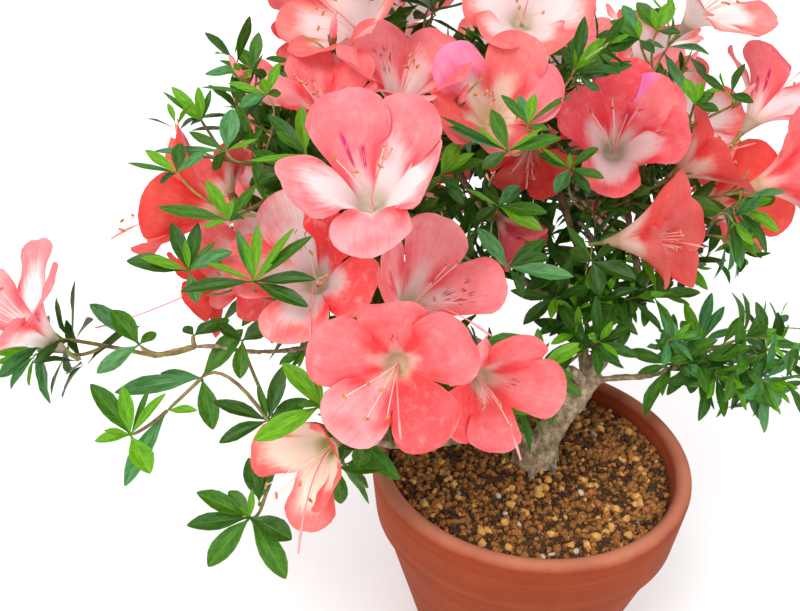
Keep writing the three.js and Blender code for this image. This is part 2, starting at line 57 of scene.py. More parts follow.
# The camera: its place, its right, upper and forward directions, and pixels to a unit slope
EYE = np.array([-64.1, -368.8, 420.8])
EYE_RIGHT = np.array([0.9992, 0.021, 0.0346])
EYE_UP = np.array([-0.0405, 0.5189, 0.8539])
EYE_AHEAD = np.array([0.0, 0.8546, -0.5193])
EYE_PIXELS = 1000
PICTURE = (800, 611)

# The part's own sizes, as its source gives them
POT = {
    "height": 120, "rim": 75, "mouth": 67.5, "lip": 4, "lip_drop": 10, "band": 32, "band_radius": 72,
    "neck": 69.5, "foot": 44, "wall": 7, "floor": 9,
}
TRUNK = {
    "foot": [2, 2, 112.3], "fork": [28, 22, 146], "lean": [0.45, 0.3, 0.85], "curl": 0.3,
    "foot_radius": 7.5, "fork_radius": 4.4, "fade": 7,
}
BOUGH_REACH = 0.36
BOUGH_LIFT = 0.35
# Boughs: the limb each one leaves and how far along it, its tip, and its radius at both ends
BOUGHS = [
    ("left_bough", "trunk", 0.6, [-84, 4, 188], [3.6, 2.2]),
    ("low_bough", "trunk", 0.12, [-72, -26, 143], [3.4, 1.8]),
    ("front_bough", "trunk", 0.82, [-26, -18, 180], [3, 1.8]),
    ("middle_bough", "trunk", 1, [32, 48, 186], [3.3, 2]),
    ("right_bough", "trunk", 0.97, [60, 66, 188], [3, 1.8]),
    ("side_branch", "trunk", 0.9, [64, 24, 152], [1.8, 1.2]),
    ("back_bough", "trunk", 0.9, [-12, 84, 196], [3.3, 2]),
    ("far_left_bough", "left_bough", 0.8, [-134, -34, 194], [1.5, 0.9]),
    ("left_high_bough", "left_bough", 0.75, [-108, 20, 228], [2.2, 1.6]),
    ("front_high_bough", "left_bough", 0.4, [-62, -4, 212], [2.2, 1.6]),
    ("high_bough", "middle_bough", 0.45, [4, 76, 240], [2.2, 1.6]),
    ("top_bough", "back_bough", 0.7, [-52, 66, 252], [2.3, 1.6]),
    ("back_left_bough", "back_bough", 0.5, [-66, 72, 204], [2.3, 1.6]),
    ("back_right_bough", "right_bough", 0.7, [48, 90, 208], [2.2, 1.6]),
]
# Masses: bough, number of scattered blossoms and shoots, middle and half sizes of the space
MASSES = {
    "front_mass": ("front_bough", 0, 7, [-36, -34, 192], [36, 28, 30]),
    "front_high_mass": ("front_high_bough", 0, 7, [-70, -10, 232], [40, 32, 32]),
    "low_mass": ("low_bough", 0, 5, [-98, -52, 160], [36, 32, 26]),
    "left_mass": ("left_bough", 1, 7, [-116, -8, 212], [34, 34, 32]),
    "far_left_mass": ("far_left_bough", 1, 6, [-168, -38, 190], [38, 32, 30]),
    "left_high_mass": ("left_high_bough", 2, 8, [-124, 18, 256], [38, 36, 36]),
    "high_mass": ("high_bough", 1, 8, [-12, 48, 270], [40, 36, 38]),
    "top_mass": ("top_bough", 4, 9, [-78, 58, 292], [48, 42, 38]),
    "middle_mass": ("middle_bough", 0, 8, [14, 54, 222], [38, 32, 32]),
    "right_mass": ("right_bough", 3, 9, [62, 70, 232], [42, 38, 48]),
    "side_mass": ("side_branch", 0, 6, [86, 30, 162], [34, 26, 22]),
    "back_left_mass": ("back_left_bough", 7, 9, [-92, 80, 222], [48, 42, 44]),
    "back_mass": ("back_bough", 6, 9, [-26, 104, 226], [46, 44, 48]),
    "back_right_mass": ("back_right_bough", 6, 9, [44, 116, 232], [44, 42, 46]),
}
# Blossoms of the front: mass, deep middle of the funnel, where it faces, radius and tone
PLACED_BLOSSOMS = [
    ("front_high_mass", [-76, -29, 257], [-0.2, -0.3, 0.9], 31, "rosy"),
    ("front_high_mass", [-97, -30, 223], [-0.1, -0.6, 0.8], 30, "pale"),
    ("front_high_mass", [-61, -26, 211], [0.6, -0.3, 0.8], 29, "shell"),
    ("front_mass", [-64, -68, 213], [0, -0.9, 0.3], 31, "salmon"),
    ("front_mass", [-32, -49, 195], [0.6, -0.8, 0.1], 30, "salmon"),
    ("low_mass", [-92, -69, 173], [-0.5, -0.9, -0.1], 28, "cream"),
    ("left_high_mass", [-137, -14, 256], [-1, 0, 0.1], 29, "scarlet"),
    ("left_mass", [-142, 3, 196], [-0.8, -0.3, -0.5], 28, "scarlet"),
    ("top_mass", [-102, 22, 278], [-0.4, 0, 0.9], 29, "salmon"),
    ("top_mass", [-68, 29, 276], [0.1, -0.2, 1], 28, "shell"),
    ("top_mass", [-92, 56, 298], [-0.5, -0.3, 0.8], 30, "margined"),
    ("top_mass", [-57, 82, 315], [-0.2, -0.3, 0.9], 30, "violet"),
    ("high_mass", [-18, 53, 300], [0, -0.4, 0.9], 31, "margined"),
    ("high_mass", [-28, 40, 266], [0.2, -0.5, 0.9], 29, "dawn"),
    ("middle_mass", [33, 72, 242], [0, -0.6, 0.8], 30, "streaked"),
    ("right_mass", [65, 98, 297], [0.4, -0.4, 0.8], 29, "margined"),
    ("right_mass", [68, 76, 232], [0.8, 0, 0.6], 28, "coral"),
    ("right_mass", [36, 38, 213], [1, -0.1, 0], 26, "coral"),
    ("middle_mass", [-12, 29, 218], [0.7, -0.7, -0.1], 22, "wilted"),
    ("middle_mass", [-3, 51, 235], [-0.1, -0.9, 0.3], 25, "scarlet"),
    ("left_mass", [-124, 7, 211], [-0.4, -0.8, 0.4], 27, "pale"),
    ("left_high_mass", [-140, 40, 258], [-0.8, 0.3, 0.5], 26, "coral"),
]
# How some of them are shaped: the line that the funnel follows, its size, the turn, opening (both in
# degrees) and length of each lobe, and where anthers and style end, measured from the funnel's middle
SHAPED = {
    0: {"axis": [-0.08, -0.4, 0.91], "radius": 33.2,
        "lobes": [(201, 43, 1.04), (292, 48, 0.96), (5, 89, 1.02), (70, 39, 0.98), (141, 46, 1.03)],
        "anthers": [(-14, -4, 21), (-6, -11, 19), (4, -5, 27), (4, -7, 23), (3, -10, 21)],
        "style": (7, -15, 30)},
    1: {"axis": [-0.17, -0.62, 0.76], "radius": 29.7,
        "lobes": [(118, 53, 1.03), (193, 49, 0.98), (276, 67, 1.02), (347, 59, 1.0), (68, 17, 1.0)],
        "anthers": [(-1, -11, 20), (3, -18, 11), (5, -16, 13)], "style": (2, -46, -3)},
    2: {"axis": [0.44, -0.37, 0.82], "radius": 30.0,
        "lobes": [(331, 56, 1.07), (43, 61, 1.0), (127, 39, 0.93), (173, 55, 1.0), (237, 55, 0.97)],
        "anthers": [(15, 0, 21), (19, 0, 22), (10, -6, 17), (10, -13, 13), (20, -14, 12)],
        "style": (31, -33, 10)},
    3: {"axis": [-0.07, -0.91, 0.42], "radius": 28.9,
        "lobes": [(95, 32, 1.0), (164, 58, 1.0), (231, 60, 1.0), (308, 57, 0.98), (30, 65, 1.02)],
        "anthers": [(-10, -21, 6), (-18, -24, 2), (-10, -28, -4), (-3, -28, -3), (-5, -22, 4)],
        "style": (2, -36, -6)},
    4: {"axis": [0.4, -0.85, 0.25], "radius": 25.5,
        "lobes": [(354, 56, 1.02), (62, 50, 1.0), (130, 52, 1.0), (197, 50, 0.96), (256, 48, 0.88)],
        "anthers": [(6, -25, 6), (-2, -25, 8), (0, -26, 5), (10, -28, -1)], "style": (14, -38, -9)},
    5: {"at": [-89, -68, 173], "axis": [-0.42, -0.86, 0.26], "radius": 24.5,
        "lobes": [(107, 30, 1.0), (181, 36, 0.96), (284, 54, 1.08), (335, 14, 1.0), (46, 34, 1.0)],
        "anthers": [(-22, -19, -4), (-18, -22, -6), (-9, -23, 1), (-5, -27, -3)], "style": (-8, -41, -16)},
    6: {"at": [-137, -14, 246], "axis": [-0.97, -0.12, 0.2], "radius": 29,
        "lobes": [(90, 84, 1.0), (162, 60, 1.0), (234, 55, 1.0), (306, 30, 1.0), (18, 38, 1.0)],
        "anthers": [(-32, -8, 0), (-36, -9, -2), (-36, -11, -5)], "style": (-40, -13, -8)},
    7: {"at": [-138, 3, 207], "radius": 21, "style": (-56, -14, -21)},
    8: {"at": [-97, 19, 273], "axis": [-0.1, -0.3, 0.93], "radius": 23},
    10: {"at": [-82, 54, 294]},
    12: {"at": [-17, 62, 303], "axis": [0, -0.75, 0.66], "radius": 26.0,
         "lobes": [(92, 50, 0.93), (176, 67, 1.0), (228, 55, 0.99), (305, 52, 0.99), (0, 70, 1.04)],
         "anthers": [(-5, -23, 16), (-4, -24, 13), (5, -30, 13)], "style": (-1, -31, 21)},
    13: {"at": [-29, 30, 270], "axis": [0.02, -0.63, 0.78], "radius": 29.2,
         "lobes": [(65, 51, 1.02), (142, 47, 0.97), (207, 43, 1.0), (282, 68, 0.7), (0, 39, 0.97)]},
    14: {"axis": [-0.09, -0.77, 0.63], "radius": 31.3,
         "lobes": [(90, 57, 1.22), (150, 52, 0.97), (262, 50, 1.04, 0.5), (10, 52, 1.0), (50, 56, 1.1)],
         "anthers": [(-15, -10, 23), (-6, -9, 29), (-5, -10, 25), (0, -15, 23), (4, -15, 27)],
         "style": (4, -19, 29)},
    17: {"axis": [0.86, -0.36, 0.36], "radius": 31,
         "lobes": [(40, 45, 1.0), (110, 42, 1.08), (182, 45, 1.0), (303, 60, 1.0), (347, 45, 1.05)]},
    18: {"at": [-21, 27, 226], "axis": [0.55, -0.55, -0.45], "radius": 19,
         "lobes": [(90, 12, 0.8), (162, 20, 0.9), (234, 8, 0.8), (306, 24, 0.9), (18, 10, 0.8)]},
    19: {"at": [-8, 56, 250], "axis": [-0.1, -0.8, -0.35], "radius": 19},
    20: {"radius": 23},
    21: {"at": [-141, 32, 232], "axis": [-0.5, 0.65, 0.4], "radius": 17},
    25: {"at": [-72, 106, 286]},
    26: {"at": [-100, 98, 292], "radius": 25},
    30: {"at": [101, 90, 254]},
    32: {"at": [-128, 96, 208], "radius": 26},
    38: {"at": [-124, 70, 200], "radius": 26},
    45: {"at": [54, 136, 266], "radius": 26},
}
# Shoots of the front: mass, place and where the tip faces
PLACED_SHOOTS = [
    ("left_mass", [-148, -44, 226], [-0.6, -0.7, 0.3]),
    ("low_mass", [-119, -40, 173], [-0.5, -0.5, 0.7]),
    ("low_mass", [-121, -73, 146], [-0.3, -0.9, 0.2]),
    ("far_left_mass", [-177, -59, 170], [-0.5, -0.7, 0.5]),
    ("far_left_mass", [-198, -38, 198], [-1, -0.1, 0.2]),
    ("far_left_mass", [-150, -50, 190], [-0.3, -0.7, -0.5]),
    ("left_high_mass", [-152, 6, 276], [-0.7, -0.1, 0.7]),
    ("left_high_mass", [-136, 30, 288], [-0.5, 0.2, 0.8]),
    ("front_high_mass", [-46, -14, 250], [0.5, -0.2, 0.8]),
    ("high_mass", [-10, 16, 262], [0.3, -0.5, 0.8]),
    ("high_mass", [16, 66, 276], [0.2, -0.2, 1]),
    ("right_mass", [76, 84, 262], [0.2, -0.2, 1]),
    ("front_mass", [4, -14, 180], [0.8, -0.4, 0.5]),
    ("front_mass", [-6, -34, 172], [0.6, -0.6, -0.4]),
    ("middle_mass", [16, 40, 236], [0.2, -0.6, 0.8]),
    ("right_mass", [66, 42, 214], [0.4, -0.6, 0.7]),
    ("side_mass", [100, 26, 172], [0.9, -0.2, 0.5]),
    ("side_mass", [84, 12, 158], [0.3, -0.9, 0.2]),
]
# Placed shoots that grow as the ones below instead, leaf by leaf
GROWN_BY_LEAF = {0, 1, 2, 3, 5, 6, 7, 8, 9, 10, 12, 13, 14}
# Shoots leaf by leaf, for each mass: place, where the tip faces, and each leaf's reach, width and tone
LEAF_TONES = {"d": "dark", "g": "green", "b": "blue", "y": "young"}
LEAFY_SHOOTS = {
    "front_high_mass": [
        ([-121, -35, 226], [0.2, 0.1, 1], [(-7, 10, 17, 6, "b"), (-4, 6, 15, 4, "y"), (1, 10, 20, 5, "y"),
         (15, 8, 20, 4, "y"), (21, 9, 18, 5.5, "g"), (-17, -1, 9, 3.5, "y"), (-28, -5, -1, 7.5, "d"),
         (24, -3, 5, 7.5, "d"), (22, -9, -4, 7.5, "d"), (7, -3, 10, 3, "y")]),
        ([-103, -9, 269], [-0.7, 0.1, 0.7], [(-2, 6, 17, 7.5, "y"), (-15, 9, 14, 7, "d"), (-11, 1, 9, 5, "g"),
         (-21, -7, -2, 3, "y")]),
        ([-110, -12, 261], [-0.9, 0.4, 0.2], [(-12, -3, 1, 8, "d"), (-11, 10, 5, 6, "b"), (-3, 14, 6, 6, "d"),
         (-10, 0, -8, 6, "d")]),
        ([-50, 0, 258], [0.9, 0, 0.3], [(7, 6, 13, 8, "y"), (12, 0, 11, 5.5, "y"), (17, 1, 9, 6, "g"),
         (8, -3, -4, 6, "d"), (11, -2, -11, 6.5, "d")]),
    ],
    "left_high_mass": [
        ([-131, -25, 247], [-0.3, 0.2, 0.9], [(-27, 0, 5, 6.5, "g"), (-9, 5, 14, 6.5, "y"),
         (10, 4, 13, 5.5, "g"), (1, 1, 8, 3, "y"), (-8, -7, 2, 3, "y"), (5, 8, -2, 4, "b")]),
        ([-146, 8, 274], [-0.5, 0.4, 0.8], [(-16, 6, 9, 2.8, "g"), (-12, 6, 13, 5.5, "y"),
         (-1, 3, 13, 4.8, "y"), (3, 8, 10, 3, "g"), (-6, -3, 9, 6.5, "y"), (-5, 4, -3, 5, "b")]),
        ([-135, -2, 266], [-0.4, 0.6, 0.7], [(-28, -3, 0, 4.5, "b"), (2, 7, 15, 9, "b"), (-16, 9, 3, 5, "g"),
         (8, 14, 8, 6.5, "d"), (-5, 1, -9, 6, "d"), (13, -2, 6, 3, "y")]),
        ([-155, -3, 256], [-0.6, 0.5, 0.6], [(-20, 2, 3, 3, "g"), (-12, 1, 9, 5.5, "y"), (0, 10, 10, 7, "d"),
         (10, 9, 6, 5.5, "b"), (-8, 3, -6, 5, "d")]),
        ([-128, 27, 290], [-0.8, 0, 0.6], [(2, 9, 12, 6, "g"), (-6, 2, 7, 7, "g"), (-13, -3, 3, 2.8, "g"),
         (-20, 1, -3, 5.5, "b"), (7, 1, -5, 6, "d"), (-2, -8, -2, 3.5, "y")]),
        ([-121, 16, 283], [-0.8, 0.2, 0.5], [(5, 5, 12, 5.5, "y"), (-1, -1, 7, 5.5, "y"),
         (-15, 0, 5, 4.5, "y"), (-27, 4, 1, 2.8, "g"), (-10, -5, -3, 7.5, "b"), (-13, 0, -11, 7, "d"),
         (5, 5, -1, 5, "g")]),
    ],
    "left_mass": [
        ([-146, -34, 229], [-0.1, 0.3, 1], [(-24, 0, 6, 9, "d"), (-16, -4, 9, 5, "y"), (-8, 11, 15, 7, "d"),
         (3, 8, 17, 6.5, "d"), (-1, 2, 13, 3.5, "y"), (16, 1, 10, 7.5, "b"), (9, 4, 12, 3, "g"),
         (2, -1, -13, 6, "b")]),
    ],
    "high_mass": [
        ([-22, 19, 262], [-0.6, 0, 0.8], [(-8, 5, 16, 7.5, "g"), (-25, 3, 9, 6.5, "b"), (21, 1, 8, 7.5, "g"),
         (-16, -1, 10, 2.6, "y"), (14, 0, 11, 2.6, "y"), (-29, 2, 13, 3.2, "d"), (-11, -4, -6, 7, "d")]),
        ([-14, 27, 271], [0.2, 0.2, 1], [(-12, 3, 11, 5.5, "g"), (-4, 7, 11, 5, "b"), (2, 4, 12, 5.5, "y"),
         (17, 5, 15, 3.5, "g"), (8, -6, 0, 4, "g")]),
        ([12, 60, 279], [0.4, 0.4, 0.8], [(-7, 10, 17, 5.5, "g"), (-2, 4, 14, 6, "y"), (9, 9, 15, 8, "g"),
         (12, 3, 12, 7, "y"), (21, 3, 10, 4.5, "d"), (-8, 2, -5, 6, "d"), (8, -2, -3, 5, "b")]),
    ],
    "middle_mass": [
        ([8, 38, 247], [0, -0.5, 0.9], [(11, 3, 11, 6, "g"), (-14, 1, 7, 7, "g"), (-1, 1, 7, 3, "y"),
         (14, -6, 0, 6, "g"), (-15, -1, 10, 2.6, "y"), (-7, -11, -6, 8, "b"), (9, -5, -9, 6, "d")]),
        ([-23, 27, 233], [0.2, 0.1, 1], [(21, -4, 1, 7.5, "g"), (19, -9, -7, 7.5, "y"), (-10, -4, -6, 7, "d"),
         (-15, -1, 8, 3, "y"), (9, 5, 8, 8, "b"), (-6, 8, 6, 7, "d")]),
        ([-19, 3, 216], [0.9, 0.4, 0.3], [(27, -7, 0, 9, "b"), (-13, 9, 14, 8, "b"), (19, 8, 4, 9, "d"),
         (11, -2, -14, 6, "d"), (17, 17, 5, 8, "d")]),
        ([22, 30, 206], [0.9, -0.4, 0.1], [(-12, 0, 4, 9, "d"), (3, -11, -11, 10, "d"), (-12, 8, 13, 5, "g"),
         (19, -8, -5, 11, "d"), (13, 9, 7, 6, "d"), (11, -5, -20, 8, "d")]),
    ],
    "front_mass": [
        ([-8, -43, 195], [0.9, -0.1, 0.4], [(15, 5, 11, 7, "y"), (16, 0, 11, 5, "y"), (-1, 9, 15, 5.5, "g"),
         (13, -4, 2, 6, "g"), (19, -6, -5, 6.5, "g"), (6, -11, -18, 8.5, "g")]),
        ([-75, -61, 172], [-0.7, -0.5, -0.5], [(-3, -8, -8, 8.5, "g"), (-8, 0, -6, 5, "d")]),
    ],
    "far_left_mass": [
        ([-164, -49, 204], [-0.7, 0.5, 0.6], [(-11, 5, 12, 11, "g"), (-22, 13, 13, 8, "b"),
         (-16, -8, -8, 8, "b"), (5, 8, 2, 5, "g")]),
        ([-146, -35, 200], [0.4, 0.6, 0.7], [(8, 1, 6, 6, "d"), (-5, 5, 1, 5, "d"), (13, 9, 3, 7, "g")]),
    ],
    "low_mass": [
        ([-143, -40, 183], [-0.6, -0.2, -0.6], [(-35, -6, -3, 9.5, "b"), (6, -13, -16, 9.5, "g"),
         (15, 9, 19, 10, "g"), (-19, 6, -2, 5, "b")]),
        ([-155, -52, 175], [-0.6, -0.6, -0.4], [(12, -3, 4, 4.5, "y"), (-18, -19, -25, 9, "b")]),
        ([-168, -61, 169], [-0.8, -0.5, -0.1], [(-16, 9, 18, 10, "g"), (-3, 7, 19, 7, "y"),
         (12, 6, 17, 5, "y"), (6, 12, 15, 3, "g"), (-14, -3, 0, 5.5, "y"), (10, -13, -9, 10.5, "y"),
         (-8, -4, 6, 3.5, "y")]),
        ([-126, -39, 201], [0, -0.4, 0.9], [(0, -9, -12, 8, "g"), (11, 4, 7, 9, "d"), (-10, 0, 8, 6, "d")]),
        ([-115, -52, 172], [-0.1, 0.3, 0.9], [(-22, 2, 7, 8, "d"), (-19, -8, -5, 8, "d"), (-4, 5, 13, 4, "g"),
         (5, 14, 17, 7.5, "d"), (15, 8, 6, 8.5, "d"), (8, -1, 4, 4, "g")]),
        ([-92, -71, 195], [-0.8, 0.1, 0.6], [(-23, -14, -9, 10, "y"), (-14, 6, 15, 9, "y"),
         (-1, 3, 10, 3.2, "y"), (-7, -4, 4, 4, "g"), (-8, 11, 2, 8.5, "b")]),
        ([-119, -80, 146], [-0.6, -0.4, 0.7], [(-21, 3, 9, 9.5, "g"), (-9, 7, 8, 7.5, "g"),
         (-24, -5, 0, 8.5, "d"), (-17, -13, -14, 10.5, "g"), (16, -14, -18, 10.5, "g"), (17, -7, -2, 11, "d"),
         (1, 3, 13, 3.5, "y"), (-3, -3, 8, 3, "y")]),
        ([-117, -70, 146], [0, 0.6, 0.8], [(-5, 9, 14, 9, "d"), (4, 11, 8, 6, "d")]),
        ([-86, -63, 158], [0.3, -0.7, -0.6], [(18, -2, 3, 7, "g"), (2, -10, -11, 7.5, "g"),
         (-20, 2, -12, 6, "d")]),
    ],
    "right_mass": [
        ([45, 77, 298], [0.2, -0.2, 1], [(-9, 5, 12, 8, "g"), (7, 7, 11, 8, "y"), (-3, 1, 10, 4, "y"),
         (10, -3, 0, 5, "d"), (1, 6, 6, 5, "g")]),
        ([38, 77, 294], [-0.3, -0.2, 0.9], [(-20, -3, 2, 8, "d"), (-8, 8, 13, 8, "b"), (-13, 0, 9, 7, "g"),
         (-16, -5, -4, 8, "d"), (6, -7, -5, 6, "d"), (-2, -1, 9, 3.5, "y")]),
        ([68, 77, 265], [0.1, -0.2, 1], [(-5, 5, 11, 7, "y"), (2, 2, 10, 6, "y"), (9, 3, 5, 6, "g"),
         (11, -3, -1, 6, "d"), (-3, -2, 6, 3, "y")]),
    ],
    "side_mass": [
        ([66, 14, 165], [0.3, -0.5, 0.7], [(-6, 11, 17, 6, "b"), (9, -1, 8, 6, "d"), (-7, -3, 2, 4.5, "g"),
         (3, -7, -4, 6, "d"), (10, -7, -5, 6, "b"), (5, 8, 9, 6.5, "b"), (-4, -1, 7, 4, "g"),
         (14, -1, 1, 6, "d")]),
    ],
}
# Shoots of the low mass that carry on from the tip of another one, by their places in its list
CARRIED_ON = {0: 4, 1: 0, 2: 1}
# Parts of the picture, as left, top, right and bottom, where the plant is open and only the shoots above
# grow
OPEN_AIR = [
    (58, 296, 300, 620), (60, 0, 165, 140), (60, 140, 122, 296), (300, 470, 400, 620),
    (380, 432, 545, 620),
    (517, 290, 566, 336), (596, 366, 732, 620), (676, 52, 712, 100), (628, 318, 664, 376),
]
# Short shoots that grow straight from the nearest limb: place, where the tip faces, leaf length and tone
LIMB_SHOOTS = [
    ([16, 10, 180], [-0.4, -0.5, 0.6], 22, "dark"), ([25, 4, 180], [0.2, -0.7, 0.6], 23, "dark"),
    ([16, 21, 186], [-0.3, -0.3, 0.8], 20, "dark"), ([27, 26, 188], [0.1, -0.5, 0.8], 22, "dark"),
    ([45, 34, 186], [0.3, -0.5, 0.7], 22, "dark"), ([61, 14, 177], [0.5, -0.5, 0.6], 17, "blue"),
    ([56, 36, 188], [0.3, -0.3, 0.8], 23, "green"), ([6, 22, 192], [-0.2, -0.6, 0.7], 24, "dark"),
    ([36, 38, 190], [0.0, -0.2, 1.0], 21, "dark"),
    ([40, 70, 190], [0.3, 0.5, 0.6], 23, "dark"), ([10, 80, 200], [-0.2, 0.6, 0.6], 23, "green"),
    ([-30, 50, 196], [-0.5, 0.4, 0.6], 23, "dark"), ([70, 74, 196], [0.7, 0.3, 0.5], 22, "dark"),
]
# Pointed buds: mass, place, direction and length
BUDS = [
    ("left_high_mass", [-130, 22, 286], [-0.5, -0.1, 0.9], 13),
    ("left_high_mass", [-150, 2, 262], [-0.3, -0.2, 0.9], 15),
    ("top_mass", [-96, 34, 300], [0.1, -0.3, 0.9], 14),
    ("high_mass", [-44, 20, 280], [0.3, -0.3, 0.9], 12),
    ("right_mass", [84, 70, 268], [0.4, -0.3, 0.8], 14),
    ("back_mass", [-20, 140, 262], [0.1, 0.5, 0.8], 14),
    ("back_left_mass", [-128, 100, 250], [-0.7, 0.4, 0.6], 13),
    ("back_right_mass", [76, 136, 262], [0.6, 0.4, 0.7], 14),
]
# Kinds of tip: its stalk, how deep its middle lies, its room, how close two of a mass may come, its radius
BLOSSOM_KIND = {"stalk": 10, "depth": 15, "room": 25, "closer": 0.75, "radius": 30}
SHOOT_KIND = {"stalk": 0, "depth": 8, "room": 14, "closer": 0.9, "radius": 0}
SCATTER = {"tries": 60, "shell": 0.8, "lift": 0.45, "lowest": -0.45, "seen": 0.2}
PLACED_REACH = {"left": -190, "right": 100, "top": 318}
SPIN_STEP = 2.4
# Shoots inside a mass: how many, and the size and number of their leaves
INNER = {"shoots": 22, "size": 23, "leaves": 8}
SPARSE = {"side_mass": 7, "low_mass": 7, "far_left_mass": 10}
# Twigs: radius at the start and the least one, share of the way that the stem takes, bend and detour
TWIG_RADII = (0.9, 0.45)
LOW_TWIG_RADII = {"low_mass": (1.1, 0.6), "far_left_mass": (1.1, 0.6)}
STEM_SHARE = 0.8
TWIG_BEND = 0.4
TWIG_DETOUR = 0.45


# Plain helpers
def unit(vector):
    vector = np.asarray(vector, float)
    return vector / np.linalg.norm(vector)


def units(rows):
    return rows / (np.linalg.norm(rows, axis=-1, keepdims=True) + 1e-9)


def mix(a, b, share):
    return a + (b - a) * share


def ease(value, low, high):
    share = np.clip((value - low) / (high - low), 0, 1)
    return share * share * (3 - 2 * share)


def around(pair, turn):
    """The direction at a turn from the first of two that are square to each other."""
    return pair[0] * math.cos(turn) + pair[1] * math.sin(turn)


def frame_about(axis, spin=0.0):
    """Two directions square to an axis, turned about it by the spin."""
    right = unit(np.cross(UP if abs(axis[2]) < 0.9 else SIDE, axis))
    ahead = np.cross(axis, right)
    return around((right, ahead), spin), around((ahead, -right), spin)


def point_on(bezier, share):
    """A point, or many, on a Bezier curve of three or four corners."""
    corners = [np.asarray(corner, float) for corner in bezier]
    share = np.asarray(share, float)[..., None]
    while len(corners) > 1:
        corners = [mix(a, b, share) for a, b in zip(corners, corners[1:])]
    return corners[0]


def heading(bezier, share):
    low, high = max(share - 1e-4, 0), min(share + 1e-4, 1)
    return unit(point_on(bezier, high) - point_on(bezier, low))


def in_picture(point):
    """Where a point shows in the picture, in pixels, and how far ahead of the camera it is."""
    away = point - EYE
    depth = away @ EYE_AHEAD
    across = PICTURE[0] / 2 + EYE_PIXELS * (away @ EYE_RIGHT) / depth
    down = PICTURE[1] / 2 - EYE_PIXELS * (away @ EYE_UP) / depth
    return across, down, depth


def in_open_air(point):
    across, down, _ = in_picture(point)
    return any(x0 < across < x1 and y0 < down < y1 for x0, y0, x1, y1 in OPEN_AIR)


def colour(code):
    """An sRGB hex colour as linear red, green, blue and alpha, or a plain level as a grey."""
    if not isinstance(code, str):
        return [code, code, code, 1.0]
    parts = [int(code[i:i + 2], 16) / 255 for i in (1, 3, 5)]
    return [p / 12.92 if p <= 0.04045 else ((p + 0.055) / 1.055) ** 2.4 for p in parts] + [1.0]


# Meshes from arrays of points
def piece_from(name, points, faces, uv=None):
    """A smooth mesh piece from points in millimetres, equal-sided faces and a place in the pattern."""
    mesh = bpy.data.meshes.new(name)
    corners = faces.ravel().astype(np.int32)
    mesh.vertices.add(len(points))
    mesh.vertices.foreach_set("co", (points * MM).astype(np.float32).ravel())
    mesh.loops.add(len(corners))
    mesh.loops.foreach_set("vertex_index", corners)
    mesh.polygons.add(len(faces))
    mesh.polygons.foreach_set("loop_start", np.arange(len(faces), dtype=np.int32) * faces.shape[1])
    mesh.update(calc_edges=True)
    if uv is not None:
        layer = mesh.uv_layers.new(name=UV_NAME)
        layer.data.foreach_set("uv", uv[corners].astype(np.float32).ravel())
    mesh.shade_smooth()
    piece = bpy.data.objects.new(name, mesh)
    bpy.context.scene.collection.objects.link(piece)
    return piece


def sheets(grids, closed=False):
    """Points and quads of many sheets of points, an array of sheets by rows by columns by three."""
    count, rows, columns = grids.shape[:3]
    number = np.arange(rows * columns).reshape(rows, columns)
    if closed:
        number = np.hstack([number, number[:, :1]])
    quad = np.stack([number[:-1, :-1], number[:-1, 1:], number[1:, 1:], number[1:, :-1]], -1)
    quads = quad.reshape(1, -1, 4) + (np.arange(count) * rows * columns)[:, None, None]
    return grids.reshape(-1, 3), quads.reshape(-1, 4)


def tubes(paths, radii, sides):
    """Points and quads of round tubes along many paths with the same number of points."""
    paths = np.asarray(paths, float)
    radii = np.broadcast_to(np.asarray(radii, float), paths.shape[:2])
    along = units(np.gradient(paths, axis=1))
    whole = paths[:, -1] - paths[:, 0]
    steep = np.abs(whole[:, 2:3]) > 0.8 * np.linalg.norm(whole, axis=1, keepdims=True)
    across = units(np.cross(np.where(steep, SIDE, UP)[:, None], along))
    third = np.cross(along, across)
    angle = np.linspace(0, TURN, sides, endpoint=False)
    ring = across[:, :, None] * np.cos(angle)[:, None] + third[:, :, None] * np.sin(angle)[:, None]
    return sheets(paths[:, :, None] + ring * radii[:, :, None, None], closed=True)


def finish_piece(piece, slot, material, *nodes):
    piece.data.materials.clear()
    piece.data.materials.append(material)
    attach(piece, "root")
    if nodes:
        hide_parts(*nodes)


def finish_foliage(piece, material):
    finish_piece(piece, "foliage", material, *MASSES)


def only(piece):
    """Selects one piece alone and makes it the active one."""
    bpy.ops.object.select_all(action="DESELECT")
    piece.select_set(True)
    bpy.context.view_layer.objects.active = piece


# The seeded rule: where the crown's blossoms and leafy shoots sit
def rolls(state):
    """Numbers from 0 to 1, the same ones as in the part's source."""
    while True:
        state = (state * 1664525 + 1013904223) % 4294967296
        yield state / 4294967296


def new_tip(kind, mass, at, faces, spin, **more):
    return {**kind, "mass": mass, "at": np.array(at, float), "faces": unit(faces), "spin": spin, **more}


def in_space(point, mass, share):
    middle, half = MASSES[mass][3:5]
    return np.sum(((point - np.array(middle)) / np.array(half)) ** 2) < share * share


def middle_of(tip):
    return tip["at"] + tip["faces"] * tip["depth"]


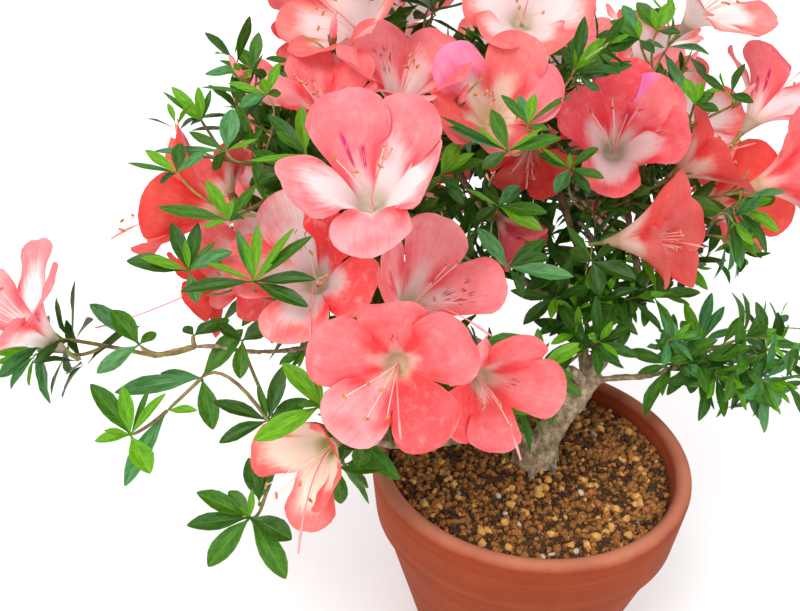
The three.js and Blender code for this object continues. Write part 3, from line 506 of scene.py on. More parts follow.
def scatter(dice, mass, count, kind, taken, allowed):
    made = []
    middle, half = (np.array(v, float) for v in MASSES[mass][3:5])
    for _ in range(count * SCATTER["tries"]):
        if len(made) == count:
            break
        height = 2 * next(dice) - 1
        turn = TURN * next(dice)
        spin = TURN * next(dice)
        flat = math.sqrt(1 - height * height)
        ray = np.array([flat * math.cos(turn), flat * math.sin(turn), height])
        at = middle + ray * half
        outward = unit(ray / half)
        tip = new_tip(kind, mass, at, outward + UP * SCATTER["lift"], spin)
        buried = any(other != mass and in_space(at, other, SCATTER["shell"]) for other in MASSES)
        crowded = any(
            np.linalg.norm(middle_of(other) - middle_of(tip))
            < (tip["room"] + other["room"]) * (kind["closer"] if other["mass"] == mass else 1)
            for other in taken
        )
        inward = outward @ (at - CROWN_MIDDLE) < 0
        if not (buried or crowded or inward) and allowed(at, outward):
            made.append(tip)
            taken.append(tip)
    return made


def lay_out():
    def free(at, outward):
        beyond = at[0] < PLACED_REACH["left"] or at[0] > PLACED_REACH["right"] or at[2] > PLACED_REACH["top"]
        return outward[2] > SCATTER["lowest"] and (outward @ FRONT < SCATTER["seen"] or beyond)

    dice = rolls(SEED)
    blossoms = [new_tip(BLOSSOM_KIND, mass, at, faces, SPIN_STEP * i, radius=radius, tone=tone)
                for i, (mass, at, faces, radius, tone) in enumerate(PLACED_BLOSSOMS)]
    shoots = [new_tip(SHOOT_KIND, *row, SPIN_STEP * i) for i, row in enumerate(PLACED_SHOOTS)]
    taken = list(blossoms)
    for mass, row in MASSES.items():
        blossoms += scatter(dice, mass, row[1], BLOSSOM_KIND, taken, free)
    taken += shoots
    for mass, row in MASSES.items():
        shoots += scatter(dice, mass, row[2], SHOOT_KIND, taken, lambda at, outward: True)
    return blossoms, shoots


# Limbs: the trunk and boughs as curves
def limb_curves():
    foot, fork = np.array(TRUNK["foot"], float), np.array(TRUNK["fork"], float)
    rise = (fork[2] - foot[2]) * TRUNK["curl"]
    limbs = {"trunk": [foot, foot + UP * rise, fork - unit(TRUNK["lean"]) * rise, fork]}
    for name, parent, along, tip, _ in BOUGHS:
        start, end = point_on(limbs[parent], along), np.array(tip, float)
        reach = np.linalg.norm(end - start) * BOUGH_REACH
        straight = unit(end - start)
        leaving = unit(heading(limbs[parent], along) + straight)
        arriving = unit(straight + UP * BOUGH_LIFT)
        limbs[name] = [start, start + leaving * reach, end - arriving * reach, end]
    return limbs


def grow_mass(mass, tips, limbs, field):
    """The stem of a mass, and a twig to each tip from the fork that makes the shortest way."""
    bough = limbs[MASSES[mass][0]]
    leaving = heading(bough, 1)
    root = point_on(bough, 1) - leaving
    hub = mix(root, np.array(MASSES[mass][3], float), STEM_SHARE)
    half = np.linalg.norm(hub - root) / 2
    stem = [root, root + leaving * half, hub]
    stout, slender = LOW_TWIG_RADII.get(mass, TWIG_RADII)
    forks = [(point_on(stem, 0.5), half, stout), (hub, 2 * half, stout * 0.9)]
    twigs = []
    for tip in sorted(tips, key=lambda item: np.linalg.norm(item["at"] - root)):
        end = tip["at"] - tip["faces"] * tip["stalk"]
        fork, path, radius = min(forks, key=lambda f: np.linalg.norm(f[0] - end) + TWIG_DETOUR * f[1])
        if "fork" in tip:
            fork, radius = tip["fork"], stout * 0.8
        span = np.linalg.norm(fork - end)
        met, _, twig = clear_twig(fork, end, tip["faces"], field)
        spare = tip["radius"] == 0 and "reaches" not in tip and "bud" not in tip
        if spare and (met > 2 or touching([tip["at"] + tip["faces"] * d for d in (0, 8, 16)], field)
                      or covers_face(tip["at"] + tip["faces"] * 8, field)):
            continue
        thinner = max(radius * 0.75, slender)
        twigs.append((tip, twig, span, radius * 0.95, thinner))
        forks.append((point_on(twig, 0.5), path + span / 2, (radius + thinner) / 2))
    return stem, twigs


# Blossoms. A lobe follows one line from the base of the tube to its tip. The lobes are joined as far as
# the notch, and each then opens by its own angle. Rows bend round with the lobe's rounded end.
TUBE = {"base": -8, "base_radius": 1.6, "first": 14, "last": 44, "length": 26}
LOBE = {"length": 20, "half_width": 14.0, "end": 12.2, "round": 2.15, "rows": 23}
ROW_CROWD = 1.3
ROWS = 1 - (1 - np.linspace(0, 1, LOBE["rows"])) ** ROW_CROWD
LOBE_ACROSS = np.sin(np.radians(np.linspace(-90, 90, 13)))
WIDTH_ALONG = [0, 0.2, 0.5, 0.8, 1]
WIDTH_SHARE = [0.66, 0.86, 1.0, 1.0, 0.97]
USUAL_OPENING = (62, 8)
USUAL_CUP = (-0.08, 0.25)
# How far the petal's waves, crease, groove and turned tip stand out
RUFFLE, WAVE, CREASE, GROOVE, CURL = 1.2, 0.9, 0.8, -0.8, 1.6
FLOOR_ROW = 3


def corolla(blossom, rng):
    """Five sheets of points for one blossom, in the part's frame."""
    axis = blossom["faces"]
    pair = frame_about(axis)
    size = blossom["radius"] / 30
    lobes = blossom["lobes"]
    turns, opening = np.radians([lobe[:2] for lobe in lobes]).T
    order = turns[0] + np.mod(turns - turns[0], TURN)
    low = (order + np.roll(order, 1)) / 2
    low[0] = (order[0] + order[-1] - TURN) / 2
    high = np.roll(low, -1)
    high[-1] = low[0] + TURN
    tube, length = TUBE["length"], LOBE["length"]
    whole = tube + length
    u = LOBE_ACROSS[None]
    far = np.abs(u)
    way = whole * ROWS[:, None]
    drop = 1 - (1 - far ** LOBE["round"]) ** (1 / LOBE["round"])
    way = way - LOBE["end"] * np.clip((way - tube) / length, 0, 1) ** 1.5 * drop
    along = np.clip((way - tube) / length, 0, 1)
    start = np.radians(mix(TUBE["first"], TUBE["last"], np.clip(way / tube, 0, 1)))
    free = np.clip((way - 0.55 * tube) / (whole - 0.55 * tube), 0, 1) ** 0.8
    held = 1 - ease(way, 0.9 * tube, 1.35 * tube)
    loose = ease(way, tube * 0.92, tube * 1.22)
    flatten = ease(way, tube, tube * 1.5)
    fold = ease(way, tube * 0.8, tube * 1.4)
    groove = ease(way, 8, 20) * (GROOVE * np.exp(-((u / 0.12) ** 2)) * (1 - 0.6 * along))
    over = rng.choice([-1.0, 1.0], 5)
    grids = []
    for k in range(5):
        beside = np.where(u < 0, opening[(k + 4) % 5], opening[(k + 1) % 5])
        opens = mix(opening[k], (opening[k] + beside) / 2, far ** 2 * held)
        angle = start + (opens - math.radians(TUBE["last"])) * free
        longer = lobes[k][2] * rng.normal(1, 0.02)
        way_here = way - max(rng.normal(0.3, 0.5), 0) * np.exp(-((u / 0.2) ** 2)) * along ** 3
        step = np.diff(way_here, axis=0, prepend=0) * np.where(way_here > tube, longer, 1)
        middle = (angle + np.vstack([angle[:1], angle[:-1]])) / 2
        r = TUBE["base_radius"] + np.cumsum(step * np.sin(middle), 0)
        z = TUBE["base"] + np.cumsum(step * np.cos(middle), 0)
        wide = LOBE["half_width"] * rng.normal(1, 0.03) * np.interp(along, WIDTH_ALONG, WIDTH_SHARE)
        joined = np.where(u < 0, (order[k] - low[k]) * u, (high[k] - order[k]) * u)
        round_angle = mix(joined, u * wide / r, loose)
        out = mix(r * np.cos(round_angle), r, flatten)
        side = mix(r * np.sin(round_angle), u * wide, flatten)
        phase = rng.uniform(0, TURN, 5)
        ruffle = RUFFLE * far ** 1.6 * np.sin(TURN * 1.3 * along + phase[0] + 1.2 * np.sign(u))
        ruffle = ruffle + WAVE * along ** 1.5 * np.sin(3.0 * u + phase[1])
        crease = CREASE * np.exp(-(((u - 0.5 * np.sin(phase[2])) / 0.16) ** 2)) * np.sin(np.pi * along ** 0.7)
        cup = rng.uniform(*USUAL_CUP) if len(lobes[k]) < 4 else lobes[k][3]
        lap = np.where(u > 0, over[k], -over[(k + 4) % 5]) * far ** 2.5 * (1 - 0.5 * along)
        curl = rng.normal(0.0, CURL) * along ** 2.5
        lift = fold * (ruffle + cup * far ** 2 * wide + lap + crease + curl) + groove
        out = out - lift * np.cos(angle)
        height = z + lift * np.sin(angle)
        outward = around(pair, order[k])
        sideways = around((pair[1], -pair[0]), order[k])
        grids.append(blossom["at"] + size * (
            out[..., None] * outward + side[..., None] * sideways + height[..., None] * axis
        ))
    return np.array(grids)


def throat_floor(blossom):
    """The closed bottom of a blossom's funnel: five sheets from its middle to a ring of the tube."""
    ring = blossom["petals"][:, FLOOR_ROW]
    middle = ring.mean((0, 1)) - blossom["faces"] * 1.2
    return np.stack([np.broadcast_to(middle, ring.shape), ring], 1)


def lobe_uv(rows):
    """Places of some rows of points in the petals' pattern: five strips side by side."""
    strips = [
        np.stack(np.broadcast_arrays((k + 0.5 + 0.48 * LOBE_ACROSS)[None] / 5, ROWS[rows][:, None]), -1)
        for k in range(5)
    ]
    return np.array(strips).reshape(-1, 2)


# Leaves: the blade's width along its length, points across it, and its width as a share of its length
LEAF_ALONG = np.array([0, 0.09, 0.2, 0.34, 0.5, 0.66, 0.8, 0.91, 0.97, 1])
LEAF_WIDTH = np.array([0.1, 0.14, 0.42, 0.78, 0.98, 0.98, 0.76, 0.44, 0.2, 0.02])
LEAF_COLUMNS = 5
LEAF_SHARE = (0.26, 0.33)
LEAF_WAVE = 0.14


def leaf_sheets(leaves):
    """One sheet of points for each leaf: base, direction, upper side, length, width, curl and fold."""
    base, along, upper = (np.array([leaf[i] for leaf in leaves]) for i in range(3))
    along = along / np.linalg.norm(along, axis=1, keepdims=True)
    upper = units(upper - along * np.sum(upper * along, 1, keepdims=True))
    length, width, curl, fold = np.array([leaf[3:7] for leaf in leaves], float).T
    v = LEAF_ALONG
    u = np.linspace(-1, 1, LEAF_COLUMNS)
    bend = curl[:, None] * v
    safe = np.where(np.abs(curl) < 0.02, 0.02, curl)[:, None]
    forward = length[:, None] * np.sin(safe * v) / safe
    rise = length[:, None] * (1 - np.cos(safe * v)) / safe
    mid = base[:, None] + forward[..., None] * along[:, None] + rise[..., None] * upper[:, None]
    normal = np.cos(bend)[..., None] * upper[:, None] - np.sin(bend)[..., None] * along[:, None]
    side = np.cross(along, upper)
    reach = (width / 2)[:, None, None] * LEAF_WIDTH[:, None]
    flat = reach * u * np.cos(fold)[:, None, None]
    wave = np.sin(v * 9 + base[:, :1])[..., None] * np.abs(u) ** 3 * reach * LEAF_WAVE
    lift = reach * np.abs(u) * np.sin(fold)[:, None, None] + wave
    return mid[:, :, None] + flat[..., None] * side[:, None, None] + lift[..., None] * normal[:, :, None]


def leaf_piece(name, leaves, material):
    u = np.linspace(0, 1, LEAF_COLUMNS)
    one = np.stack(np.broadcast_arrays(u[None], LEAF_ALONG[:, None]), -1).reshape(-1, 2)
    finish_foliage(piece_from(name, *sheets(leaf_sheets(leaves)), np.tile(one, (len(leaves), 1))), material)


# What a growing leaf or twig keeps clear of. The field holds the blossoms' places, in space and in the
# picture, and a tree of their petals' points.
TOUCH = 2.4
FACE_SHARE = 0.95
FUNNEL_FLAT = [0, 0.1, 0.5, 1.05]
FUNNEL_HEIGHT = [-8, 2, 14, 25]
FUNNEL_ROOM = 20
LEAF_PROBES = np.linspace(0.1, 1, 8)
# How a placed shoot is drawn towards the camera: steps, and the share of its distance in each
NEARER_STEPS = 15
NEARER_STEP = 0.0085
# Whorls: tilt and length of the leaves from the outermost to the innermost
WHORL_TILT = (1.45, 0.35)
WHORL_LENGTH = (1.08, 0.55)
# Growth along a twig: its spacing, the length of a single leaf, and the side shoots' reach, leaf length,
# number of leaves and share of young ones
ALONG_TWIG = {
    "spacing": 8, "leaf": (17, 24), "reach": (9, 20), "whorl": (16, 23), "count": (5, 9),
    "young": 0.28,
}


def touching(points, field):
    """How many of some points lie on a petal."""
    return sum(field["petals"].find(Vector(point))[2] < TOUCH for point in points)


def covers_face(point, field):
    """Whether a point lies in front of a blossom's face in the picture."""
    across, down, depth = in_picture(point)
    gap = np.hypot(across - field["across"], down - field["down"])
    return np.any((gap < FACE_SHARE * field["spread"]) & (depth < field["depth"]))


def in_the_way(leaf, field):
    """Whether a leaf would cut a blossom, stand in its funnel or cover its face in the picture."""
    base, along, _, length = leaf[:4]
    along = unit(along)
    if touching([base + along * length * share for share in LEAF_PROBES], field):
        return True
    for share in (0.3, 0.65, 1.0):
        point = base + along * length * share
        away = point - field["at"]
        height = np.sum(away * field["faces"], 1)
        flat = np.sqrt(np.maximum(np.sum(away * away, 1) - height ** 2, 0)) / field["radius"]
        surface = np.interp(flat, FUNNEL_FLAT, FUNNEL_HEIGHT)
        inside = np.any((flat < 0.9) & (height > surface) & (height < surface + FUNNEL_ROOM))
        if inside or covers_face(point, field):
            return True
    return False


def rosette(rng, at, axis, size, count, young, tone, leaves, field, spin=0.0):
    """A whorl of leaves at a shoot's tip: wide outer leaves, and small upright young ones inside."""
    pair = frame_about(axis, spin)
    for k in range(count):
        share = k / max(count - 1, 1)
        turn = GOLDEN * k + rng.normal(0, 0.15)
        tilt = mix(*WHORL_TILT, share ** 1.2) + rng.normal(0, 0.13)
        out = around(pair, turn)
        along = unit(around((axis, out), tilt) - UP * 0.10 * math.sin(tilt))
        upper = axis * math.sin(tilt) - out * math.cos(tilt) + UP * 0.35
        length = size * mix(*WHORL_LENGTH, share ** 1.3) * rng.normal(1, 0.09)
        width = length * rng.uniform(*LEAF_SHARE)
        base = at - axis * (1 - share) * 5 + out * 0.6
        leaf = (base, along, upper, length, width, rng.normal(-0.25, 0.25), rng.uniform(0.15, 0.55))
        if not in_the_way(leaf, field):
            leaves["young" if share > 1 - young else tone].append(leaf)


def forward_of_petals(at, reaches, field):
    """How far a leafy shoot is drawn towards the camera until its leaves are clear of the petals."""
    tips = np.array([reach[:3] for reach in reaches], float)
    best, least = 1.0, 1e9
    for step in range(NEARER_STEPS):
        nearer = 1 - NEARER_STEP * step
        start = EYE + (at - EYE) * nearer
        points = [start + tip * share * nearer for tip in tips for share in LEAF_PROBES]
        count = touching(points, field) + 0.2 * step
        if count < least:
            best, least = nearer, count
    return best


def clear_twig(fork, end, faces, field):
    """A twig that comes in towards where its tip faces, on the way that meets the fewest petals."""
    span = np.linalg.norm(fork - end)
    toward = unit(EYE - end)
    paths = []
    for way in (faces, faces + toward * 0.7, faces + UP * 0.8, toward, faces - UP * 0.8,
                faces - toward * 0.7):
        path = [fork, end - unit(way) * TWIG_BEND * span, end]
        points = point_on(path, np.linspace(0.08, 0.85, 14))
        met = 2 * touching(points, field) + sum(covers_face(point, field) for point in points)
        paths.append((met, len(paths), path))
    return min(paths, key=lambda row: row[:2])


def pick_tone(rng):
    # The bluish tone is a bluish-green copy of the leaf, a painted sheen of the leaves' gloss
    return rng.choice(["dark", "green", "blue"], p=[0.44, 0.36, 0.20])


def side_growth(rng, tip, twig, span, tone, green, leaves, field):
    """Single leaves and short leafy side shoots along a twig."""
    for j, share in enumerate(np.linspace(0.35, 0.88, max(2, int(span / ALONG_TWIG["spacing"])))):
        at = point_on(twig, share)
        ahead = heading(twig, share)
        right, _ = frame_about(ahead, tip["spin"] + GOLDEN * j)
        outward = unit(right + ahead * 0.7 + UP * 0.25 + unit(at - CROWN_MIDDLE) * 0.5)
        length = rng.uniform(*ALONG_TWIG["leaf"])
        single = (at, outward, UP + ahead * 0.3, length, length * rng.uniform(*LEAF_SHARE),
                  rng.normal(-0.2, 0.2), rng.uniform(0.15, 0.5))
        reach = rng.uniform(*ALONG_TWIG["reach"])
        end = at + outward * reach
        if in_open_air(end):
            continue
        if j % 2 == 0:
            if not in_the_way(single, field):
                leaves[tone].append(single)
            continue
        finer = [at, at + ahead * reach * 0.35 + outward * reach * 0.2, end]
        green.append((finer, 0.5, 0.45))
        size, count = rng.uniform(*ALONG_TWIG["whorl"]), rng.integers(*ALONG_TWIG["count"])
        rosette(rng, end, heading(finer, 1), size, count, ALONG_TWIG["young"], pick_tone(rng), leaves, field,
                tip["spin"] + j)


def inner_tips(rng, mass):
    """Shoots inside a mass, which close the crown behind its blossoms."""
    middle, half = (np.array(v, float) for v in MASSES[mass][3:5])
    tips = []
    for _ in range(SPARSE.get(mass, INNER["shoots"])):
        ray = unit(rng.normal(size=3))
        at = middle + ray * half * rng.uniform(0.3, 0.88)
        if not in_open_air(at):
            tips.append(new_tip(SHOOT_KIND, mass, at, ray + UP * 0.5, rng.uniform(0, 6), inner=True))
    return tips


def shape_blossoms(rng, blossoms):
    """Gives each blossom its tone, lobes and petals, and collects what leaves keep clear of."""
    for i, b in enumerate(blossoms):
        if "tone" not in b:
            b["tone"] = rng.choice(["rosy", "salmon", "shell", "pale", "margined", "scarlet", "dawn"],
                                   p=[0.2, 0.28, 0.16, 0.08, 0.12, 0.1, 0.06])
        shaped = SHAPED.get(i, {})
        b["at"] = np.array(shaped.get("at", b["at"]), float)
        b["faces"] = unit(shaped.get("axis", b["faces"]))
        b["radius"] = shaped.get("radius", b["radius"])
        b["anthers"] = shaped.get("anthers", [])
        b["style"] = shaped.get("style")
        right, ahead = frame_about(b["faces"])
        start = math.degrees(math.atan2(UP @ ahead, UP @ right)) + rng.normal(0, 12)
        usual = [(start + 72 * k + rng.normal(0, 3), rng.normal(*USUAL_OPENING), 1.0) for k in range(5)]
        b["lobes"] = shaped.get("lobes", usual)
    petal_rng = np.random.default_rng(SEED + 3)
    for b in blossoms:
        b["petals"] = corolla(b, petal_rng)
    points = np.concatenate([b["petals"][:, 3:].reshape(-1, 3) for b in blossoms])
    petals = KDTree(len(points))
    for i, point in enumerate(points):
        petals.insert(point, i)
    petals.balance()
    across, down, depth = np.array([in_picture(b["at"] + b["faces"] * 16) for b in blossoms]).T
    at, faces, radius = (np.array([b[key] for b in blossoms]) for key in ("at", "faces", "radius"))
    seen = np.arange(len(blossoms)) < len(PLACED_BLOSSOMS)
    return {"at": at, "faces": faces, "radius": radius, "across": across, "down": down, "depth": depth,
            "spread": seen * radius * EYE_PIXELS / depth, "petals": petals}


def leafy_tips(field):
    """The shoots that are placed leaf by leaf."""
    tips = []
    for mass, rows in LEAFY_SHOOTS.items():
        own = []
        for at, faces, reaches in rows:
            at = np.array(at, float)
            nearer = forward_of_petals(at, reaches, field)
            own.append(new_tip(SHOOT_KIND, mass, EYE + (at - EYE) * nearer, faces, 0.0,
                               reaches=[np.array(r[:4]) * nearer for r in reaches],
                               tones=[LEAF_TONES[r[4]] for r in reaches]))
        if mass == "low_mass":
            for further, nearer in CARRIED_ON.items():
                own[further]["fork"] = own[nearer]["at"]
        tips += own
    return tips


def grow_crown():
    """The limbs, all paths of twigs, the leaves by tone, and the blossoms."""
    rng = np.random.default_rng(SEED)
    blossoms, shoots = lay_out()
    field = shape_blossoms(rng, blossoms)
    limbs = limb_curves()
    bough_tips = {name: tip_radius for name, _, _, _, (_, tip_radius) in BOUGHS}
    leaves = {tone: [] for tone in LEAF_LOOKS}
    stems, woody, green = [], [], []
    shoots = [s for i, s in enumerate(shoots) if i not in GROWN_BY_LEAF and (
        i < len(PLACED_SHOOTS) or not in_open_air(s["at"] + s["faces"] * 6))]
    shoots += leafy_tips(field)
    shoots += [new_tip(SHOOT_KIND, *row, 1.0, bud=length) for *row, length in BUDS]
    for mass in MASSES:
        tips = [t for t in blossoms + shoots if t["mass"] == mass] + inner_tips(rng, mass)
        stem, twigs = grow_mass(mass, tips, limbs, field)
        stems.append((stem, bough_tips[MASSES[mass][0]]))
        for tip, twig, span, thick, thin in twigs:
            tone = pick_tone(rng)
            woody.append((twig, thick, thin))
            at, faces = tip["at"], tip["faces"]
            if "reaches" in tip:
                for (*reach, width), leaf_tone in zip(tip["reaches"], tip["tones"]):
                    upper = UP * 0.8 + (EYE - at) / 500 - unit(reach) * 0.2
                    leaves[leaf_tone].append((at, unit(reach), upper, np.linalg.norm(reach), width * 0.92,
                                              rng.normal(-0.15, 0.2), rng.uniform(0.2, 0.6)))
                continue
            if "inner" in tip:
                rosette(rng, at, faces, INNER["size"], INNER["leaves"], 0.0, "inner", leaves, field,
                        tip["spin"])
                continue
            # Leaf length, number of leaves and share of young ones in the whorl
            whorl = (25, 11, 0.4)
            if tip["radius"] > 0:
                at, whorl = at - faces * 15, (24, 6, 0.0)
            elif "bud" in tip:
                whorl = (17, 6, 0.4)
            rosette(rng, at, faces, *whorl, tone, leaves, field, tip["spin"])
            side_growth(rng, tip, twig, span, tone, green, leaves, field)
    points = np.concatenate([point_on(limb, np.linspace(0.15, 1, 30)) for limb in limbs.values()])
    for i, (at, faces, size, tone) in enumerate(LIMB_SHOOTS):
        at, faces = np.array(at, float), unit(faces)
        root = points[np.argmin(np.linalg.norm(points - at, axis=1) + 30 * (points[:, 2] > at[2]))]
        twig = clear_twig(root, at, faces, field)[2]
        woody.append((twig, 0.8, 0.55))
        rosette(rng, at, faces, size, 9, 0.3, tone, leaves, field, i)
        rosette(rng, point_on(twig, 0.6), unit(heading(twig, 0.6) + faces), size * 0.8, 4, 0.0, tone, leaves,
                field, i + 2)
    return blossoms, limbs, stems, woody, green, leaves


# Materials. The scale of each pattern comes from the real size of one of its parts, in millimetres.
PETAL_LONG = TUBE["length"] + LOBE["length"]
PETAL_WIDE = 2 * LOBE["half_width"]
LEAF_LONG = 24.5
PART = {
    "leaf_vein": 3.5, "leaf_cloud": 7, "petal_cloud": 14.7, "petal_fleck": 4, "petal_fibre": (1.167, 11.5),
    "petal_dash": (1.077, 5.11), "clay_cloud": 41.7, "clay_ring": (200, 200, 2.38), "clay_pore": 0.77,
    "bark_plate": 4.17, "bark_warmth": 16.7, "bark_crack": 2.38,
}
# The field that a mode goes to, and the places of a colour mix's share and its two colours
MODE_OF = {
    "Math": "operation", "MapRange": "interpolation_type", "Mix": "data_type", "TexVoronoi": "feature",
}
MIX_PLACES = (0, 6, 7)


def per_metre(size):
    """How many parts of a pattern come to the metre, from the size of one in millimetres."""
    return 1000 / size


def node(tree, kind, *inputs, **settings):
    """Adds a node of a kind, whose second word is its mode. Plain values fill its inputs in their order,
    capitals name an input, and lower-case settings are its own fields."""
    kind, _, mode = kind.partition(" ")
    made = tree.nodes.new("ShaderNode" + kind)
    if mode:
        setattr(made, MODE_OF[kind], mode)
    sockets = list(zip(MIX_PLACES if kind == "Mix" else range(len(inputs)), inputs))
    for name, value in settings.items():
        if name == "stops":
            elements = made.color_ramp.elements
            while len(elements) < len(value):
                elements.new(0.5)
            for element, (position, code) in zip(elements, value):
                element.position = position
                element.color = colour(code)
        elif name == "ramp":
            made.color_ramp.interpolation = value
        elif name[0].isupper():
            sockets.append((name.replace("_", " "), value))
        else:
            setattr(made, name, value)
    for key, value in sockets:
        if isinstance(value, bpy.types.Node):
            value = next(output for output in value.outputs if output.enabled)
        if isinstance(value, bpy.types.NodeSocket):
            tree.links.new(value, made.inputs[key])
        else:
            made.inputs[key].default_value = colour(value) if isinstance(value, str) else value
    return made


def new_material(name):
    """An empty material, and the function above for its own tree."""
    material = bpy.data.materials.new(name)
    material.use_nodes = True
    material.node_tree.nodes.clear()
    return material, partial(node, material.node_tree)


def leaf_material(name, deep, light, rib, rough, glow):
    # Evergreen azalea leaf: thin and leathery, softly glossy above, with a sunken midrib a little paler
    # than the blade and faint side veins.
    material, add = new_material(name)
    place = add("UVMap", uv_map=UV_NAME)
    split = add("SeparateXYZ", place)
    across = add("Math ABSOLUTE", add("Math MULTIPLY_ADD", split.outputs[0], 2.0, -1.0))
    midrib = add("MapRange", across, 0.0, 0.08, 1.0, 0.0)
    slant = add("Math MULTIPLY_ADD", across, -0.16, split.outputs[1])
    wave = add("Math SINE", add("Math MULTIPLY", slant, TURN * LEAF_LONG / PART["leaf_vein"]))
    vein = add("MapRange", wave, 0.75, 1.0, 0.0, 1.0)
    cloud = add("TexNoise", Vector=place, Scale=LEAF_LONG / PART["leaf_cloud"], Detail=4.0)
    blade = add("ValToRGB", cloud, stops=[(0.34, deep), (0.64, light)])
    veined = add("Mix RGBA", add("Math MULTIPLY", vein, 0.12), blade, rib)
    ribbed = add("Mix RGBA", add("Math MULTIPLY", midrib, 0.5), veined, rib)
    height = add("Math MULTIPLY_ADD", vein, -0.25, add("Math MULTIPLY", midrib, -1.0))
    bump = add("Bump", Strength=0.45, Distance=0.0003, Height=height)
    shader = add("BsdfPrincipled", Base_Color=ribbed, Roughness=rough, Normal=bump, Specular_IOR_Level=0.28)
    through = add("BsdfTranslucent", Color=ribbed, Normal=bump)
    add("OutputMaterial", Surface=add("MixShader", glow, shader, through))
    return material


def petal_material(name, bodies, whites, light, deep, white, throat, strong=0.92, bow=0.22, margin=None,
                   marks=()):
    # Azalea petal: thin and silky, white or cream towards the throat in some, with painted shade in its folds
    # and towards its edge, with fine raised veins, some with a dashed blotch on the upper lobe, and light
    # shining through.
    material, add = new_material(name)
    split = add("SeparateXYZ", add("UVMap", uv_map=UV_NAME))
    along = split.outputs[1]
    five = add("Math MULTIPLY", split.outputs[0], 5.0)
    edge = add("Math ABSOLUTE", add("Math MULTIPLY_ADD", add("Math FRACT", five), 2.0, -1.0))
    body, ends = (
        add("ValToRGB", split.outputs[0], ramp="CONSTANT", stops=[(k / 5, v) for k, v in enumerate(lobes)])
        for lobes in (bodies, whites)
    )

    def stretched(part):
        wide, long = PART[part]
        return add("CombineXYZ", add("Math MULTIPLY", five, PETAL_WIDE / wide),
                   add("Math MULTIPLY", along, PETAL_LONG / long))

    spread = add("CombineXYZ", five, add("Math MULTIPLY", along, PETAL_LONG / PETAL_WIDE))
    cloud, small = (
        add("TexNoise", Vector=spread, Scale=PETAL_WIDE / PART[part], Detail=3.0)
        for part in ("petal_cloud", "petal_fleck")
    )
    fibres = add("TexNoise", Vector=stretched("petal_fibre"), Scale=1.0, Detail=3.0)

    # A paler bloom in clouds and at the very edge
    result = add("Mix RGBA", add("MapRange", small, 0.5, 0.72, 0.0, 0.45), body, light)
    result = add("Mix RGBA", add("MapRange", edge, 0.9, 1.0, 0.0, 0.4), result, light)

    # The deeper tone is painted shade near the folds between the lobes, and the petal's own in clouds and
    # veins
    fold_shade = add("MapRange SMOOTHSTEP", edge, 0.3, 0.95, 0.0, 1.0)
    low_part = add("MapRange SMOOTHSTEP", along, 0.98, 0.58, 0.0, 1.0)
    clouds = add("MapRange", cloud, 0.45, 0.68, 0.0, 0.55)
    veins = add("MapRange", fibres, 0.42, 0.7, 0.0, 0.24)
    deeper = add("Math MULTIPLY_ADD", add("Math MULTIPLY", fold_shade, low_part), 0.7, clouds)
    result = add("Mix RGBA", add("Math ADD", deeper, veins, use_clamp=True), result, deep)

    # White reaches out from the throat along the middle of each lobe
    bowed = add("Math MULTIPLY_ADD", add("Math POWER", edge, 1.8), bow, along)
    streaky = add("Math MULTIPLY_ADD", fibres, 0.16, add("Math MULTIPLY_ADD", cloud, 0.35, bowed))
    reach = add("Math SUBTRACT", streaky, ends.outputs[0])
    result = add("Mix RGBA", add("MapRange SMOOTHSTEP", reach, 0.10, 0.40, strong, 0.0), result, white)
    result = add("Mix RGBA", add("MapRange SMOOTHSTEP", along, 0.14, 0.34, 0.9, 0.0), result, throat)

    # Some have a margin of full colour round the white
    if margin:
        code, width = margin
        outer = add("Math MULTIPLY_ADD", add("Math POWER", edge, 3.0), width, along)
        outer = add("Math MULTIPLY_ADD", cloud, 0.25, outer)
        result = add("Mix RGBA", add("MapRange SMOOTHSTEP", outer, 0.98, 1.2, 0.0, 0.95), result, code)

    # Marks: place in fifths across and its half width, place along and its half length, how broken, colour
    dots = add("TexNoise", Vector=stretched("petal_dash"), Scale=1.0, Detail=1.0)
    for middle, half, height, reach_of, broken, code in marks:
        aside = add("MapRange", add("Math ABSOLUTE", add("Math SUBTRACT", five, middle)),
                    half * 0.4, half, 1.0, 0.0)
        near = add("MapRange", add("Math ABSOLUTE", add("Math SUBTRACT", along, height)),
                   reach_of * 0.6, reach_of, 1.0, 0.0)
        solid = add("MapRange", dots, broken - 0.05, broken + 0.01, 0.0, 0.92)
        marked = add("Math MULTIPLY", add("Math MULTIPLY", aside, near), solid)
        result = add("Mix RGBA", marked, result, code)

    bump = add("Bump", Strength=0.5, Distance=0.0005, Height=add("Math MULTIPLY_ADD", fibres, 0.7, small))
    shader = add("BsdfPrincipled", Base_Color=result, Roughness=0.5, Normal=bump)
    through = add("BsdfTranslucent", Color=result, Normal=bump)
    add("OutputMaterial", Surface=add("MixShader", 0.3, shader, through))
    return material


def simple_material(name, dark, light, cloud_size, rough, relief=0.0, detail=4.0):
    # The small parts, each named for what it is: gritty loam, baked clay granules, thin twig bark, soft
    # green stems, silky threads and buds, and dusty anthers. All are matte or dull, of two close tones in
    # soft clouds, with a little relief.
    material, add = new_material(name)
    place = add("TexCoord").outputs["Object"]
    cloud = add("TexNoise", Vector=place, Scale=per_metre(cloud_size), Detail=detail)
    base = add("ValToRGB", cloud, stops=[(0.3, dark), (0.7, light)])
    bump = add("Bump", Strength=0.6, Distance=relief, Height=cloud)
    add("OutputMaterial", Surface=add("BsdfPrincipled", Base_Color=base, Roughness=rough, Normal=bump))
    return material


